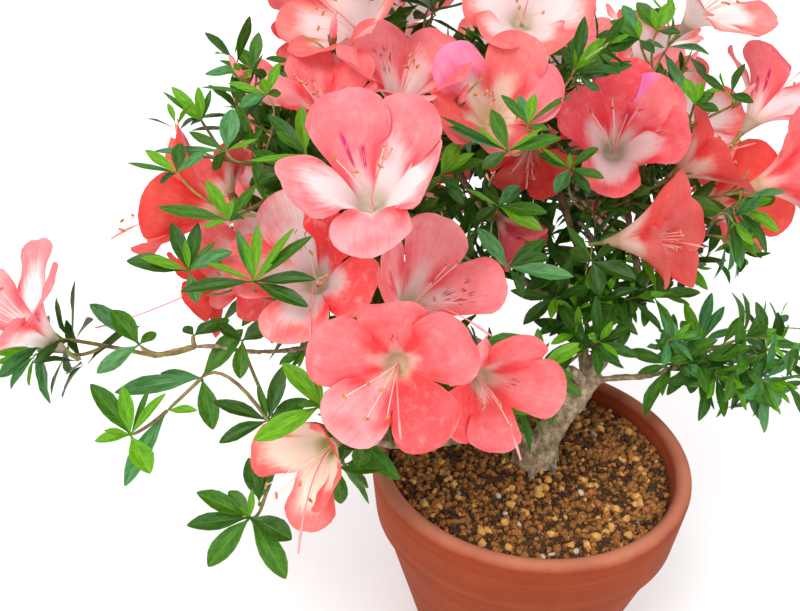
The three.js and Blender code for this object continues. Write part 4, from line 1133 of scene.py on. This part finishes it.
def terracotta_material():
    # Unglazed terracotta: fired brick-red clay, turned on a wheel, matte and dry, with fine pores, faint
    # rings, paler lime bloom in patches, and a painted highlight along the top of the rim.
    material, add = new_material("terracotta_turned")
    place = add("TexCoord").outputs["Object"]
    high = add("SeparateXYZ", place).outputs[2]
    cloud = add("TexNoise", Vector=place, Scale=per_metre(PART["clay_cloud"]), Detail=7.0, Roughness=0.6)
    turned = add("Mapping", Vector=place, Scale=[per_metre(size) for size in PART["clay_ring"]])
    rings = add("TexNoise", Vector=turned, Scale=1.0, Detail=3.0)
    pores = add("TexNoise", Vector=place, Scale=per_metre(PART["clay_pore"]), Detail=2.0)
    base = add("ValToRGB", cloud, stops=[(0.3, "#803011"), (0.7, "#9b411d")])
    speckled = add("Mix RGBA", add("MapRange", pores, 0.60, 0.72, 0.0, 0.35), base, "#5c2010")
    ringed = add("Mix RGBA", add("MapRange", rings, 0.52, 0.72, 0.0, 0.22), speckled, "#b35c36")
    # The top of the rim has a painted highlight from here up, in metres, and the clouds make the line uneven
    wavy = add("Math MULTIPLY_ADD", cloud, 0.006, high)
    rim_highlight = add("Mix RGBA", add("MapRange", wavy, 0.1192, 0.1232, 0.0, 0.7), ringed, "#c48268")
    height = add("Math MULTIPLY_ADD", rings, 0.7, add("Math MULTIPLY", pores, 0.35))
    bump = add("Bump", Strength=0.6, Distance=0.0004, Height=height)
    rough = add("MapRange", cloud, 0.3, 0.7, 0.82, 0.95)
    shader = add("BsdfPrincipled", Base_Color=rim_highlight, Roughness=rough, Normal=bump, Specular_IOR_Level=0.25)
    add("OutputMaterial", Surface=shader)
    return material


def bark_material():
    # Azalea bark: thin grey-brown flaking bark over warmer wood, matte, with fine cracks.
    material, add = new_material("azalea_bark")
    place = add("TexCoord").outputs["Object"]
    plates = add("TexNoise", Vector=place, Scale=per_metre(PART["bark_plate"]), Detail=6.0, Roughness=0.65)
    base = add("ValToRGB", plates, stops=[(0.32, "#5e4e3b"), (0.5, "#a48e71"), (0.66, "#d2be9c")])
    warm = add("TexNoise", Vector=place, Scale=per_metre(PART["bark_warmth"]), Detail=3.0)
    warmed = add("Mix RGBA", add("MapRange", warm, 0.45, 0.7, 0.0, 0.5), base, "#8a6850")
    cracks = add("TexVoronoi DISTANCE_TO_EDGE", Vector=place, Scale=per_metre(PART["bark_crack"]))
    height = add("Math MULTIPLY_ADD", add("MapRange", cracks, 0.0, 0.12, 0.0, 1.0), 0.5, plates)
    bump = add("Bump", Strength=0.8, Distance=0.0006, Height=height)
    add("OutputMaterial", Surface=add("BsdfPrincipled", Base_Color=warmed, Roughness=0.9, Normal=bump))
    return material


# Pot: a circle that is extruded and scaled ring by ring, up the outside, over the lip and down the inside
POT_SIDES = 160
LIP_STEPS = 14
SHARP_EDGE = math.radians(35)


def ring_turned(name, rings, sides):
    """A closed mesh from rings of radius and height, in millimetres."""
    bpy.ops.object.select_all(action="DESELECT")
    radius, height = rings[0]
    bpy.ops.mesh.primitive_circle_add(
        vertices=sides, radius=radius * MM, fill_type="NGON", location=(0, 0, height * MM)
    )
    piece = bpy.context.object
    piece.name = name
    bpy.ops.object.transform_apply(location=True)
    bpy.ops.object.mode_set(mode="EDIT")
    bpy.ops.mesh.select_mode(type="FACE")
    bpy.ops.mesh.select_all(action="SELECT")
    bpy.ops.mesh.flip_normals()
    bpy.ops.mesh.select_mode(type="EDGE")
    for new_radius, new_height in rings[1:]:
        share = new_radius / radius
        bpy.ops.mesh.extrude_edges_move(TRANSFORM_OT_translate={"value": (0, 0, (new_height - height) * MM)})
        bpy.ops.transform.resize(value=(share, share, 1), center_override=(0, 0, new_height * MM))
        radius, height = new_radius, new_height
    bpy.ops.mesh.edge_face_add()
    bpy.ops.mesh.select_all(action="SELECT")
    bpy.ops.mesh.normals_make_consistent(inside=False)
    bpy.ops.object.mode_set(mode="OBJECT")
    return piece


def pot_rings():
    foot, neck, band, rim, lip = (POT[key] for key in ("foot", "neck", "band_radius", "rim", "lip"))
    top, wall, inner_floor = POT["height"], POT["wall"], POT["floor"]
    band_foot = top - POT["band"]
    middle, half = (rim + POT["mouth"]) / 2, (rim - POT["mouth"]) / 2
    angles = [math.pi * i / LIP_STEPS for i in range(LIP_STEPS + 1)]
    return [
        (foot - 1.2, 0), (foot - 0.3, 0.35), (foot, 1.2), (neck - 0.1, band_foot - 1.4),
        (neck + 0.4, band_foot - 0.3), (band - 0.6, band_foot + 0.1), (band, band_foot + 0.8),
        (rim - 0.6, top - POT["lip_drop"]),
        *[(middle + half * math.cos(angle), top - lip + lip * math.sin(angle)) for angle in angles],
        (neck - wall, band_foot), (foot - wall + 1, inner_floor + 1), (foot - wall - 2, inner_floor),
    ]


def make_pot():
    piece = ring_turned("terracotta_pot", pot_rings(), POT_SIDES)
    only(piece)
    bpy.ops.object.shade_smooth_by_angle(angle=SHARP_EDGE)
    finish_piece(piece, "terracotta", terracotta_material(), "pot")


# Soil: a rough bed with thousands of loose granules on it. Each kind: dark and light tone, number, least
# and largest radius, and how far it stands out
GRAINS = {
    "grains_brown": ("#5c340f", "#b07838", 1500, 1.0, 2.1, 0),
    "grains_dark": ("#2a1806", "#5c3a1a", 900, 0.9, 1.9, 0),
    "grains_rust": ("#84461a", "#c8843e", 560, 0.9, 2.0, 0),
    "grains_ochre": ("#b87c2e", "#e4b468", 130, 1.0, 2.4, 0.4),
    "grains_pale": ("#b3a184", "#d9cdb8", 12, 1.0, 1.8, 0.5),
    "grains_grey": ("#6a625c", "#9d958e", 24, 0.9, 1.9, 0.3),
    "grains_fine": ("#4e2f10", "#9c6c2e", 3400, 0.35, 0.9, 0),
}
# Grains that stand out, for each kind: place across and ahead, and radius
SINGLE_GRAINS = {
    "grains_pale": [(-0.3, 17.6, 3), (22, -20, 1.8)],
    "grains_ochre": [(25.5, -47.4, 3), (33, -40.9, 2.7), (24.2, -11.7, 2.5), (27, -15, 2.2),
        (-55.3, -16.6, 2.3), (40.5, -35, 2.3), (30, -44.5, 2.2), (37, -30, 2.5), (46, -26, 2.2),
        (20.5, -52, 2), (8, -12.5, 2.3), (3.5, -14, 2), (-22, -46, 2.2)],
}
SOIL_RADIUS = 66
SOIL_SIDES = 96
SOIL_STEP = 3.4
SOIL_WALL = [(36.3, 9.4), (61.9, 88), (66.2, 109.6)]
SINGLE_SQUASH = [1.0, 0.8, 0.7]
# The granules keep clear of the trunk: its middle and its radius
TRUNK_MIDDLE = (2, 2)
TRUNK_CLEAR = 5


def soil_height(r):
    return 110.2 + 1.8 * (1 - (r / SOIL_RADIUS) ** 2)


def make_soil():
    rng = np.random.default_rng(SEED + 1)
    inner = [SOIL_RADIUS - SOIL_STEP * i for i in range(1, 19)]
    bed = ring_turned("soil_bed", SOIL_WALL + [(r, soil_height(r)) for r in inner], SOIL_SIDES)
    loam = simple_material("soil_dark_loam", "#2a1808", "#583818", 2.38, 0.95, 0.0012, 6.0)
    finish_piece(bed, "soil", loam, "soil")
    for name, (dark, light, count, small, large, up) in GRAINS.items():
        template = bmesh.new()
        bmesh.ops.create_icosphere(template, subdivisions=1 if name == "grains_fine" else 2, radius=1)
        shape = np.array([v.co for v in template.verts])
        faces = np.array([[v.index for v in f.verts] for f in template.faces])
        template.free()
        singles = np.array(SINGLE_GRAINS.get(name, [])).reshape(-1, 3)
        r = 65.5 * np.sqrt(rng.uniform(0, 1, count))
        turn = rng.uniform(0, TURN, count)
        size = rng.uniform(small, large, count)
        r = np.minimum(r, SOIL_RADIUS - size)
        squash = rng.uniform(0.6, 1.15, (count, 3))
        z = soil_height(r) + rng.uniform(-0.5, 0.9, count) + up
        places = np.stack([r * np.cos(turn), r * np.sin(turn), z], -1)
        own = np.column_stack([singles[:, :2], soil_height(np.hypot(singles[:, 0], singles[:, 1])) + 0.8])
        places = np.vstack([places, own])
        size = np.append(size, singles[:, 2])
        squash = np.vstack([squash, np.tile(SINGLE_SQUASH, (len(singles), 1))])
        bumps = 1 + rng.normal(0, 0.13, (len(places), len(shape)))
        turned = np.linalg.qr(rng.normal(size=(len(places), 3, 3)))[0]
        local = shape[None] * bumps[..., None] * squash[:, None] * size[:, None, None]
        points = np.einsum("nij,nvj->nvi", turned, local) + places[:, None]
        away = points[..., :2] - TRUNK_MIDDLE
        points = points[np.hypot(away[..., 0], away[..., 1]).min(1) > TRUNK_CLEAR]
        all_faces = faces[None] + (np.arange(len(points)) * len(shape))[:, None, None]
        piece = piece_from(name, points.reshape(-1, 3), all_faces.reshape(-1, 3))
        finish_piece(piece, "soil", simple_material(name + "_clay", dark, light, 1.11, 0.92, 0.0004), "soil")


# Trunk and boughs: swept curves with a radius at each point, fused, with the bark's relief
ROOTS = 7
FUSED_AT = 0.62
# Relief: how large its plates or cracks are, and how far they stand out
BARK_RELIEF = {"bark_plates": (4.2, 1.1), "bark_cracks": (1.5, 0.5)}


def make_limbs():
    rng = np.random.default_rng(SEED + 2)
    data = bpy.data.curves.new("limb_lines", "CURVE")
    data.dimensions = "3D"
    data.bevel_depth = MM
    data.bevel_resolution = 4
    data.use_fill_caps = True

    def add_line(points, radii):
        spline = data.splines.new("POLY")
        spline.points.add(len(points) - 1)
        for point, place, radius in zip(spline.points, points, radii):
            point.co = (*(np.array(place) * MM), 1)
            point.radius = radius

    steps = np.linspace(0, 1, 25)
    radii = mix(TRUNK["foot_radius"], TRUNK["fork_radius"], steps) + 3.0 * np.exp(-TRUNK["fade"] * steps)
    add_line(point_on(limbs["trunk"], steps), radii * (1 + 0.05 * np.sin(steps * 19)))
    foot = np.array(TRUNK["foot"], float)
    few = np.linspace(0, 1, 12)
    for k in range(ROOTS):
        turn = TURN * k / ROOTS + rng.uniform(-0.25, 0.25)
        out = np.array([math.cos(turn), math.sin(turn), 0.0])
        top = point_on(limbs["trunk"], 0.33) + out * 2.5
        root = [top, mix(foot, top, 0.35) + out * 6.0, foot + out * rng.uniform(11, 16) - UP * 1.6]
        add_line(point_on(root, few), np.linspace(3.4, 1.7, 12))
    steps = np.linspace(0, 1, 20)
    for name, _, _, _, (foot_radius, tip_radius) in BOUGHS:
        knots = 1 + 0.06 * np.sin(steps * rng.uniform(15, 30) + rng.uniform(0, 6))
        add_line(point_on(limbs[name], steps), mix(foot_radius, tip_radius, steps) * knots)
    for stem, thick in stems:
        radii = np.linspace(np.clip(thick, 0.95, 1.7), np.clip(thick * 0.8, 0.9, 1.1), 12)
        add_line(point_on(stem, few), radii)
    piece = bpy.data.objects.new("bark_limbs", data)
    bpy.context.scene.collection.objects.link(piece)
    only(piece)
    bpy.ops.object.convert(target="MESH")
    piece = bpy.context.object
    fuse = piece.modifiers.new("fuse", "REMESH")
    fuse.mode = "VOXEL"
    fuse.voxel_size = FUSED_AT * MM
    piece.modifiers.new("settle", "SMOOTH").iterations = 3
    for name, (grain, strength) in BARK_RELIEF.items():
        relief = piece.modifiers.new("relief", "DISPLACE")
        relief.texture = bpy.data.textures.new(name, "CLOUDS")
        relief.texture.noise_scale = grain * MM
        relief.texture_coords = "LOCAL"
        relief.strength = strength * MM
    only(piece)
    for modifier in list(piece.modifiers):
        bpy.ops.object.modifier_apply(modifier=modifier.name)
    only(piece)
    bpy.ops.object.shade_smooth()
    finish_piece(piece, "bark", bark_material(), "trunk", *[row[0] for row in BOUGHS])


def make_twigs():
    steps = np.linspace(0, 1, 9)
    for name, rows, material, sides in (
        ("twigs_woody", woody, simple_material("twig_bark", "#6b5434", "#98904e", 3.85, 0.8, 0.0003), 7),
        ("twigs_green", green, simple_material("twig_green", "#7a8534", "#a3b052", 5, 0.7, 0.0002), 6),
    ):
        paths = [point_on(path, steps) for path, _, _ in rows]
        radii = np.array([np.linspace(a, b, len(steps)) for _, a, b in rows])
        radii[:, -1] *= 0.3
        finish_foliage(piece_from(name, *tubes(paths, radii, sides)), material)


# Leaf tones: deep, light, rib, roughness and how much light comes through
LEAF_LOOKS = {
    "dark": ("#1d4606", "#34640c", "#64893c", 0.42, 0.16),
    "green": ("#2c600a", "#467c14", "#7ea24a", 0.44, 0.22),
    # The bluish tone is a bluish-green copy of the leaf, a painted sheen of the leaves' gloss
    "blue": ("#2f6c34", "#52904c", "#88ae78", 0.4, 0.15),
    "young": ("#4c9210", "#72b01a", "#a0c852", 0.46, 0.3),
    "inner": ("#305e10", "#4c801e", "#70963e", 0.5, 0.2),
}


def make_leaves():
    for tone, look in LEAF_LOOKS.items():
        leaf_piece("leaves_" + tone, leaves[tone], leaf_material("leaf_" + tone, *look))


# Petal tones: body colour and reach of the white for each lobe, bloom, deeper tone of the veins and clouds
# and of the painted shade in the folds, white and throat
MAGENTA = "#d4106a"
DARK_RED = "#a81c38"
PETAL_LOOKS = {
    "rosy": (["#fb858c", "#fc9396", "#fda8ac", "#fd9da0", "#fc888e"], [0.4, 0.76, 0.42, 0.86, 0.62],
             "#feb4b4", "#f25a62", "#fbf1f1", "#d6ccb0"),
    "pale": (["#ead2d2", "#fb7a7a", "#fb9a98", "#fa6462", "#f84440"], [0.75, 0.66, 0.74, 0.58, 0.42],
             "#f6d4d2", "#f43e42", "#eadad9", "#cbbc9c"),
    "shell": (["#fc9297", "#fc989c", "#fca0a2", "#fc8a8e", "#fc9094"], [0.48, 0.5, 0.42, 0.5, 0.64],
              "#fdb6b4", "#f05a62", "#f5e4de", "#d3c6a0"),
    "salmon": (["#fc8284", "#fc8084", "#fda8ac", "#fa5052", "#fc7c80"], [0.34, 0.38, 0.38, 0.26, 0.38],
               "#fda8a8", "#f64a4e", "#fadad2", "#dcc8a0"),
    "cream": (["#fa8078", "#fa7a72", "#fb928a", "#fa746c", "#fa7a74"], [0.86, 0.86, 0.8, 0.7, 0.8], "#fdb0a6",
              "#f25a56", "#f9ebd8", "#c2b860"),
    "streaked": (["#f5525c", "#f2565e", "#fb7678", "#fb8082", "#fc8a8e"], [0.4, 0.54, 0.72, 0.66, 0.46],
                 "#fca0a2", "#ee3a48", "#f6e2e2", "#d0c4a4"),
    "dawn": (["#fb8480", "#f590c0", "#f4625e", "#fb8a88", "#fa92a0"], [0.54, 0.6, 0.5, 0.5, 0.56], "#fcaaa8",
             "#f05a5e", "#f8e8d0", "#f2dfa4"),
    "margined": (["#f99690", "#fa8c86", "#fa9e98", "#fa8882", "#fa928c"], [0.78, 0.84, 0.8, 0.76, 0.82],
                 "#fcbab4", "#f4645e", "#f7eeec", "#d6ccae"),
    "coral": (["#fb736e", "#fa6862", "#fb7c76", "#fa6a66", "#fb706c"], [0.52, 0.56, 0.5, 0.54, 0.5],
              "#fc908a", "#f04848", "#f8dcd0", "#e6c49c"),
    "scarlet": (["#fa5f54", "#f8544a", "#fa685e", "#f84e46", "#fa5c52"], [0.36, 0.36, 0.4, 0.34, 0.36],
                "#fb7c72", "#ec3230", "#f8cfc4", "#d8b48c"),
    "violet": (["#f7a8cf", "#f499c6", "#f8b4d4", "#f39ac6", "#f7a8d0"], [0.5, 0.54, 0.5, 0.56, 0.5],
               "#fac6e0", "#e878b8", "#f7eaf0", "#cfc4a6"),
    "wilted": (["#e0626a", "#d85862", "#e46c72", "#d0505a", "#de606a"], [0.4, 0.4, 0.4, 0.4, 0.4], "#ec8c8c",
               "#b8384a", "#eec0b4", "#b88a70"),
}
# What else some of them have: a stronger or more bowed white, a margin with its width, and marks
PETAL_MORE = {
    "rosy": {"strong": 0.98,
             "marks": [(0.62, 0.045, 0.58, 0.16, 0.36, MAGENTA), (0.36, 0.09, 0.5, 0.1, 0.44, MAGENTA)]},
    "pale": {"marks": [(0.5, 0.26, 0.55, 0.12, 0.64, DARK_RED)]},
    "shell": {"marks": [(0.5, 0.3, 0.58, 0.16, 0.62, DARK_RED)]},
    "salmon": {"marks": [(0.5, 0.3, 0.48, 0.1, 0.66, DARK_RED)]},
    "cream": {"bow": 0.3, "margin": ("#fa6a66", 0.35)},
    "streaked": {
        "marks": [(4.84, 0.15, 0.84, 0.2, 0.36, "#f08cd8"), (0.16, 0.2, 0.62, 0.17, 0.4, "#e01c70")],
    },
    "margined": {"margin": ("#fa726e", 0.28)},
    "violet": {"marks": [(0.5, 0.28, 0.55, 0.12, 0.58, MAGENTA)]},
}
JOINED_WITHIN = 0.02


def make_petals():
    for tone, look in PETAL_LOOKS.items():
        own = [b for b in blossoms if b["tone"] == tone]
        points, faces = sheets(np.concatenate([b["petals"] for b in own]))
        floors, more = sheets(np.concatenate([throat_floor(b) for b in own]))
        uv = np.concatenate([np.tile(lobe_uv(rows), (len(own), 1))
                             for rows in (slice(None), [FLOOR_ROW - 1, FLOOR_ROW])])
        piece = piece_from("petals_" + tone, np.concatenate([points, floors]),
                           np.concatenate([faces, more + len(points)]), uv)
        edit = bmesh.new()
        edit.from_mesh(piece.data)
        bmesh.ops.remove_doubles(edit, verts=edit.verts, dist=JOINED_WITHIN * MM)
        edit.to_mesh(piece.data)
        edit.free()
        finish_foliage(piece, petal_material("petal_" + tone, *look, **PETAL_MORE.get(tone, {})))


# Radii along a thread, a style and an anther, and along a blossom's stalk and a bud
THREAD_RADII = np.linspace(0.3, 0.18, 10)
STYLE_RADII = [*np.linspace(0.34, 0.24, 10)[:8], 0.55, 0.35]
ANTHER_RADII = [0.2, 0.5, 0.6, 0.58, 0.5, 0.2]
STALK_RADII = [0.85, 0.85, 0.95, 1.3, 1.7]
BUD_RADII = [0.6, 1.0, 1.3, 1.5, 1.6, 1.5, 1.2, 0.8, 0.15]
USUAL_ANTHERS = 6


def make_stamens():
    rng = np.random.default_rng(SEED + 4)
    steps = np.linspace(0, 1, 10)
    threads, styles, anthers = [], [], []
    for b in blossoms:
        axis, at, size = b["faces"], b["at"], b["radius"] / 30
        dorsal = around(frame_about(axis), math.radians(b["lobes"][0][0]))
        side = np.cross(axis, dorsal)
        lean = -dorsal * 5.0
        ends = [at + np.array(away, float) for away in b["anthers"]]
        while len(ends) < USUAL_ANTHERS:
            away = lean + side * rng.normal(0, 5.5) + dorsal * rng.normal(0, 3.5)
            ends.append(at + size * (axis * rng.uniform(21, 29) + away))
        for end in ends[:len(b["anthers"]) or None]:
            away = (end - at) / size
            high = away @ axis
            away = away - axis * high
            start = at - axis * 5 * size + side * rng.normal(0, 0.5) + dorsal * rng.normal(0, 0.5)
            path = [start, at + size * (axis * 8 + away * 0.15),
                    at + size * (axis * high * 0.7 + away * 0.55), end]
            threads.append(point_on(path, steps))
            way = unit(side * rng.normal() + dorsal * rng.normal() + axis * 0.4)
            anthers.append([end + way * d for d in np.linspace(-1.4, 1.4, len(ANTHER_RADII))])
        away = lean * 1.6 + side * rng.normal(0, 2.0)
        end = at + size * (axis * rng.uniform(34, 38) + away)
        if b["style"]:
            end = at + np.array(b["style"], float)
        away = end - at
        high = away @ axis
        away = away - axis * high
        path = [at - axis * 5, at + size * axis * 12, at + axis * high * 0.72 + away * 0.45, end]
        styles.append(point_on(path, steps))
    for name, paths, radii, sides, tones in (
        ("stamen_threads", threads, THREAD_RADII, 5, ("#f3c6bc", "#fbe4dc", 10, 0.5)),
        ("styles", styles, STYLE_RADII, 6, ("#ee8088", "#f7a4a4", 10, 0.45)),
        ("anthers", anthers, ANTHER_RADII, 6, ("#8c3a1a", "#e6a468", 1.11, 0.7, 0.0002)),
    ):
        finish_foliage(piece_from(name, *tubes(paths, radii, sides)), simple_material(name + "_tone", *tones))


def make_calyx():
    """Stalk, calyx and bud scales behind each blossom, and the pointed buds."""
    rng = np.random.default_rng(SEED + 5)
    steps = np.linspace(0, 1, len(STALK_RADII))
    stalks, scales = [], []
    for b in blossoms:
        at, faces = b["at"], b["faces"]
        end = at - faces * 7.5 * (b["radius"] / 30)
        stalks.append([mix(at - faces * 16, end, s) for s in steps])
        pair = frame_about(faces, rng.uniform(0, 6))
        for k in range(6):
            out = around(pair, TURN * k / 6)
            foot = end - faces * rng.uniform(1.5, 3.5) + out * 0.8
            scales.append((foot, faces + out * 0.35, out, rng.uniform(5, 7.5), 3.6, -0.2, -0.4))
    finish_foliage(piece_from("blossom_stalks", *tubes(stalks, STALK_RADII, 8)),
                   simple_material("stalk_green", "#7d8a3c", "#a9a860", 5, 0.65, 0.0002))
    buds = [[np.array(at, float) + unit(faces) * length * s for s in np.linspace(-0.1, 1, len(BUD_RADII))]
            for _, at, faces, length in BUDS]
    finish_foliage(piece_from("blossom_buds", *tubes(buds, BUD_RADII, 12)),
                   simple_material("bud_pink", "#f2707e", "#fba4a8", 6.25, 0.5, 0.0002))
    for _, at, faces, _ in BUDS:
        faces = unit(faces)
        pair = frame_about(faces)
        for k in range(5):
            out = around(pair, k * TURN / 5)
            foot = np.array(at, float) - faces * 2.5 + out * 0.8
            scales.append((foot, faces + out * 0.35, out, rng.uniform(5, 7), 3.2, -0.2, -0.4))
    leaf_piece("bud_scales", scales, leaf_material("bud_scale", "#7c5a2e", "#a8924e", "#c9b070", 0.55, 0.2))


# Floor, light and camera. Each lamp: its place, its width and its power
LAMPS = {
    "key": ((-0.9, -1.2, 1.9), 1.1, 34),
    "fill": ((1.5, -1.0, 1.3), 1.6, 14),
    "back": ((0.3, 1.6, 1.6), 1.6, 12),
}
LAMPS_AIM = (-0.04, 0.0, 0.2)
WORLD_LEVEL = 0.85
SENSOR = 36


def make_studio():
    bpy.ops.object.select_all(action="DESELECT")
    bpy.ops.mesh.primitive_plane_add(size=14, location=(0, 0, 0))
    floor = bpy.context.object
    floor.name = "studio_floor"
    material, add = new_material("pale_floor")
    add("OutputMaterial", Surface=add("BsdfPrincipled", Base_Color="#f4f4f4", Roughness=0.9))
    floor.data.materials.append(material)
    for name, (place, size, power) in LAMPS.items():
        light = bpy.data.lights.new(name, "AREA")
        light.shape = "DISK"
        light.size = size
        light.energy = power
        lamp = bpy.data.objects.new(name, light)
        lamp.location = place
        lamp.rotation_euler = (Vector(LAMPS_AIM) - Vector(place)).to_track_quat("-Z", "Y").to_euler()
        bpy.context.scene.collection.objects.link(lamp)
    world = bpy.data.worlds.new("soft_white")
    world.use_nodes = True
    background = world.node_tree.nodes["Background"].inputs
    background[0].default_value = (1, 1, 1, 1)
    background[1].default_value = WORLD_LEVEL
    bpy.context.scene.world = world
    bpy.context.scene.view_settings.view_transform = "Standard"


def make_camera():
    data = bpy.data.cameras.new("camera")
    data.sensor_width = SENSOR
    data.lens = SENSOR * EYE_PIXELS / PICTURE[0]
    data.clip_start = 0.01
    data.clip_end = 30
    camera = bpy.data.objects.new("camera", data)
    turned = Matrix((Vector(EYE_RIGHT), Vector(EYE_UP), Vector(-EYE_AHEAD))).transposed().to_4x4()
    camera.matrix_world = Matrix.Translation(Vector(EYE * MM)) @ turned
    bpy.context.scene.collection.objects.link(camera)
    bpy.context.scene.camera = camera


blossoms, limbs, stems, woody, green, leaves = grow_crown()
make_pot()
make_soil()
make_limbs()
make_twigs()
make_leaves()
make_petals()
make_stamens()
make_calyx()
make_studio()
make_camera()
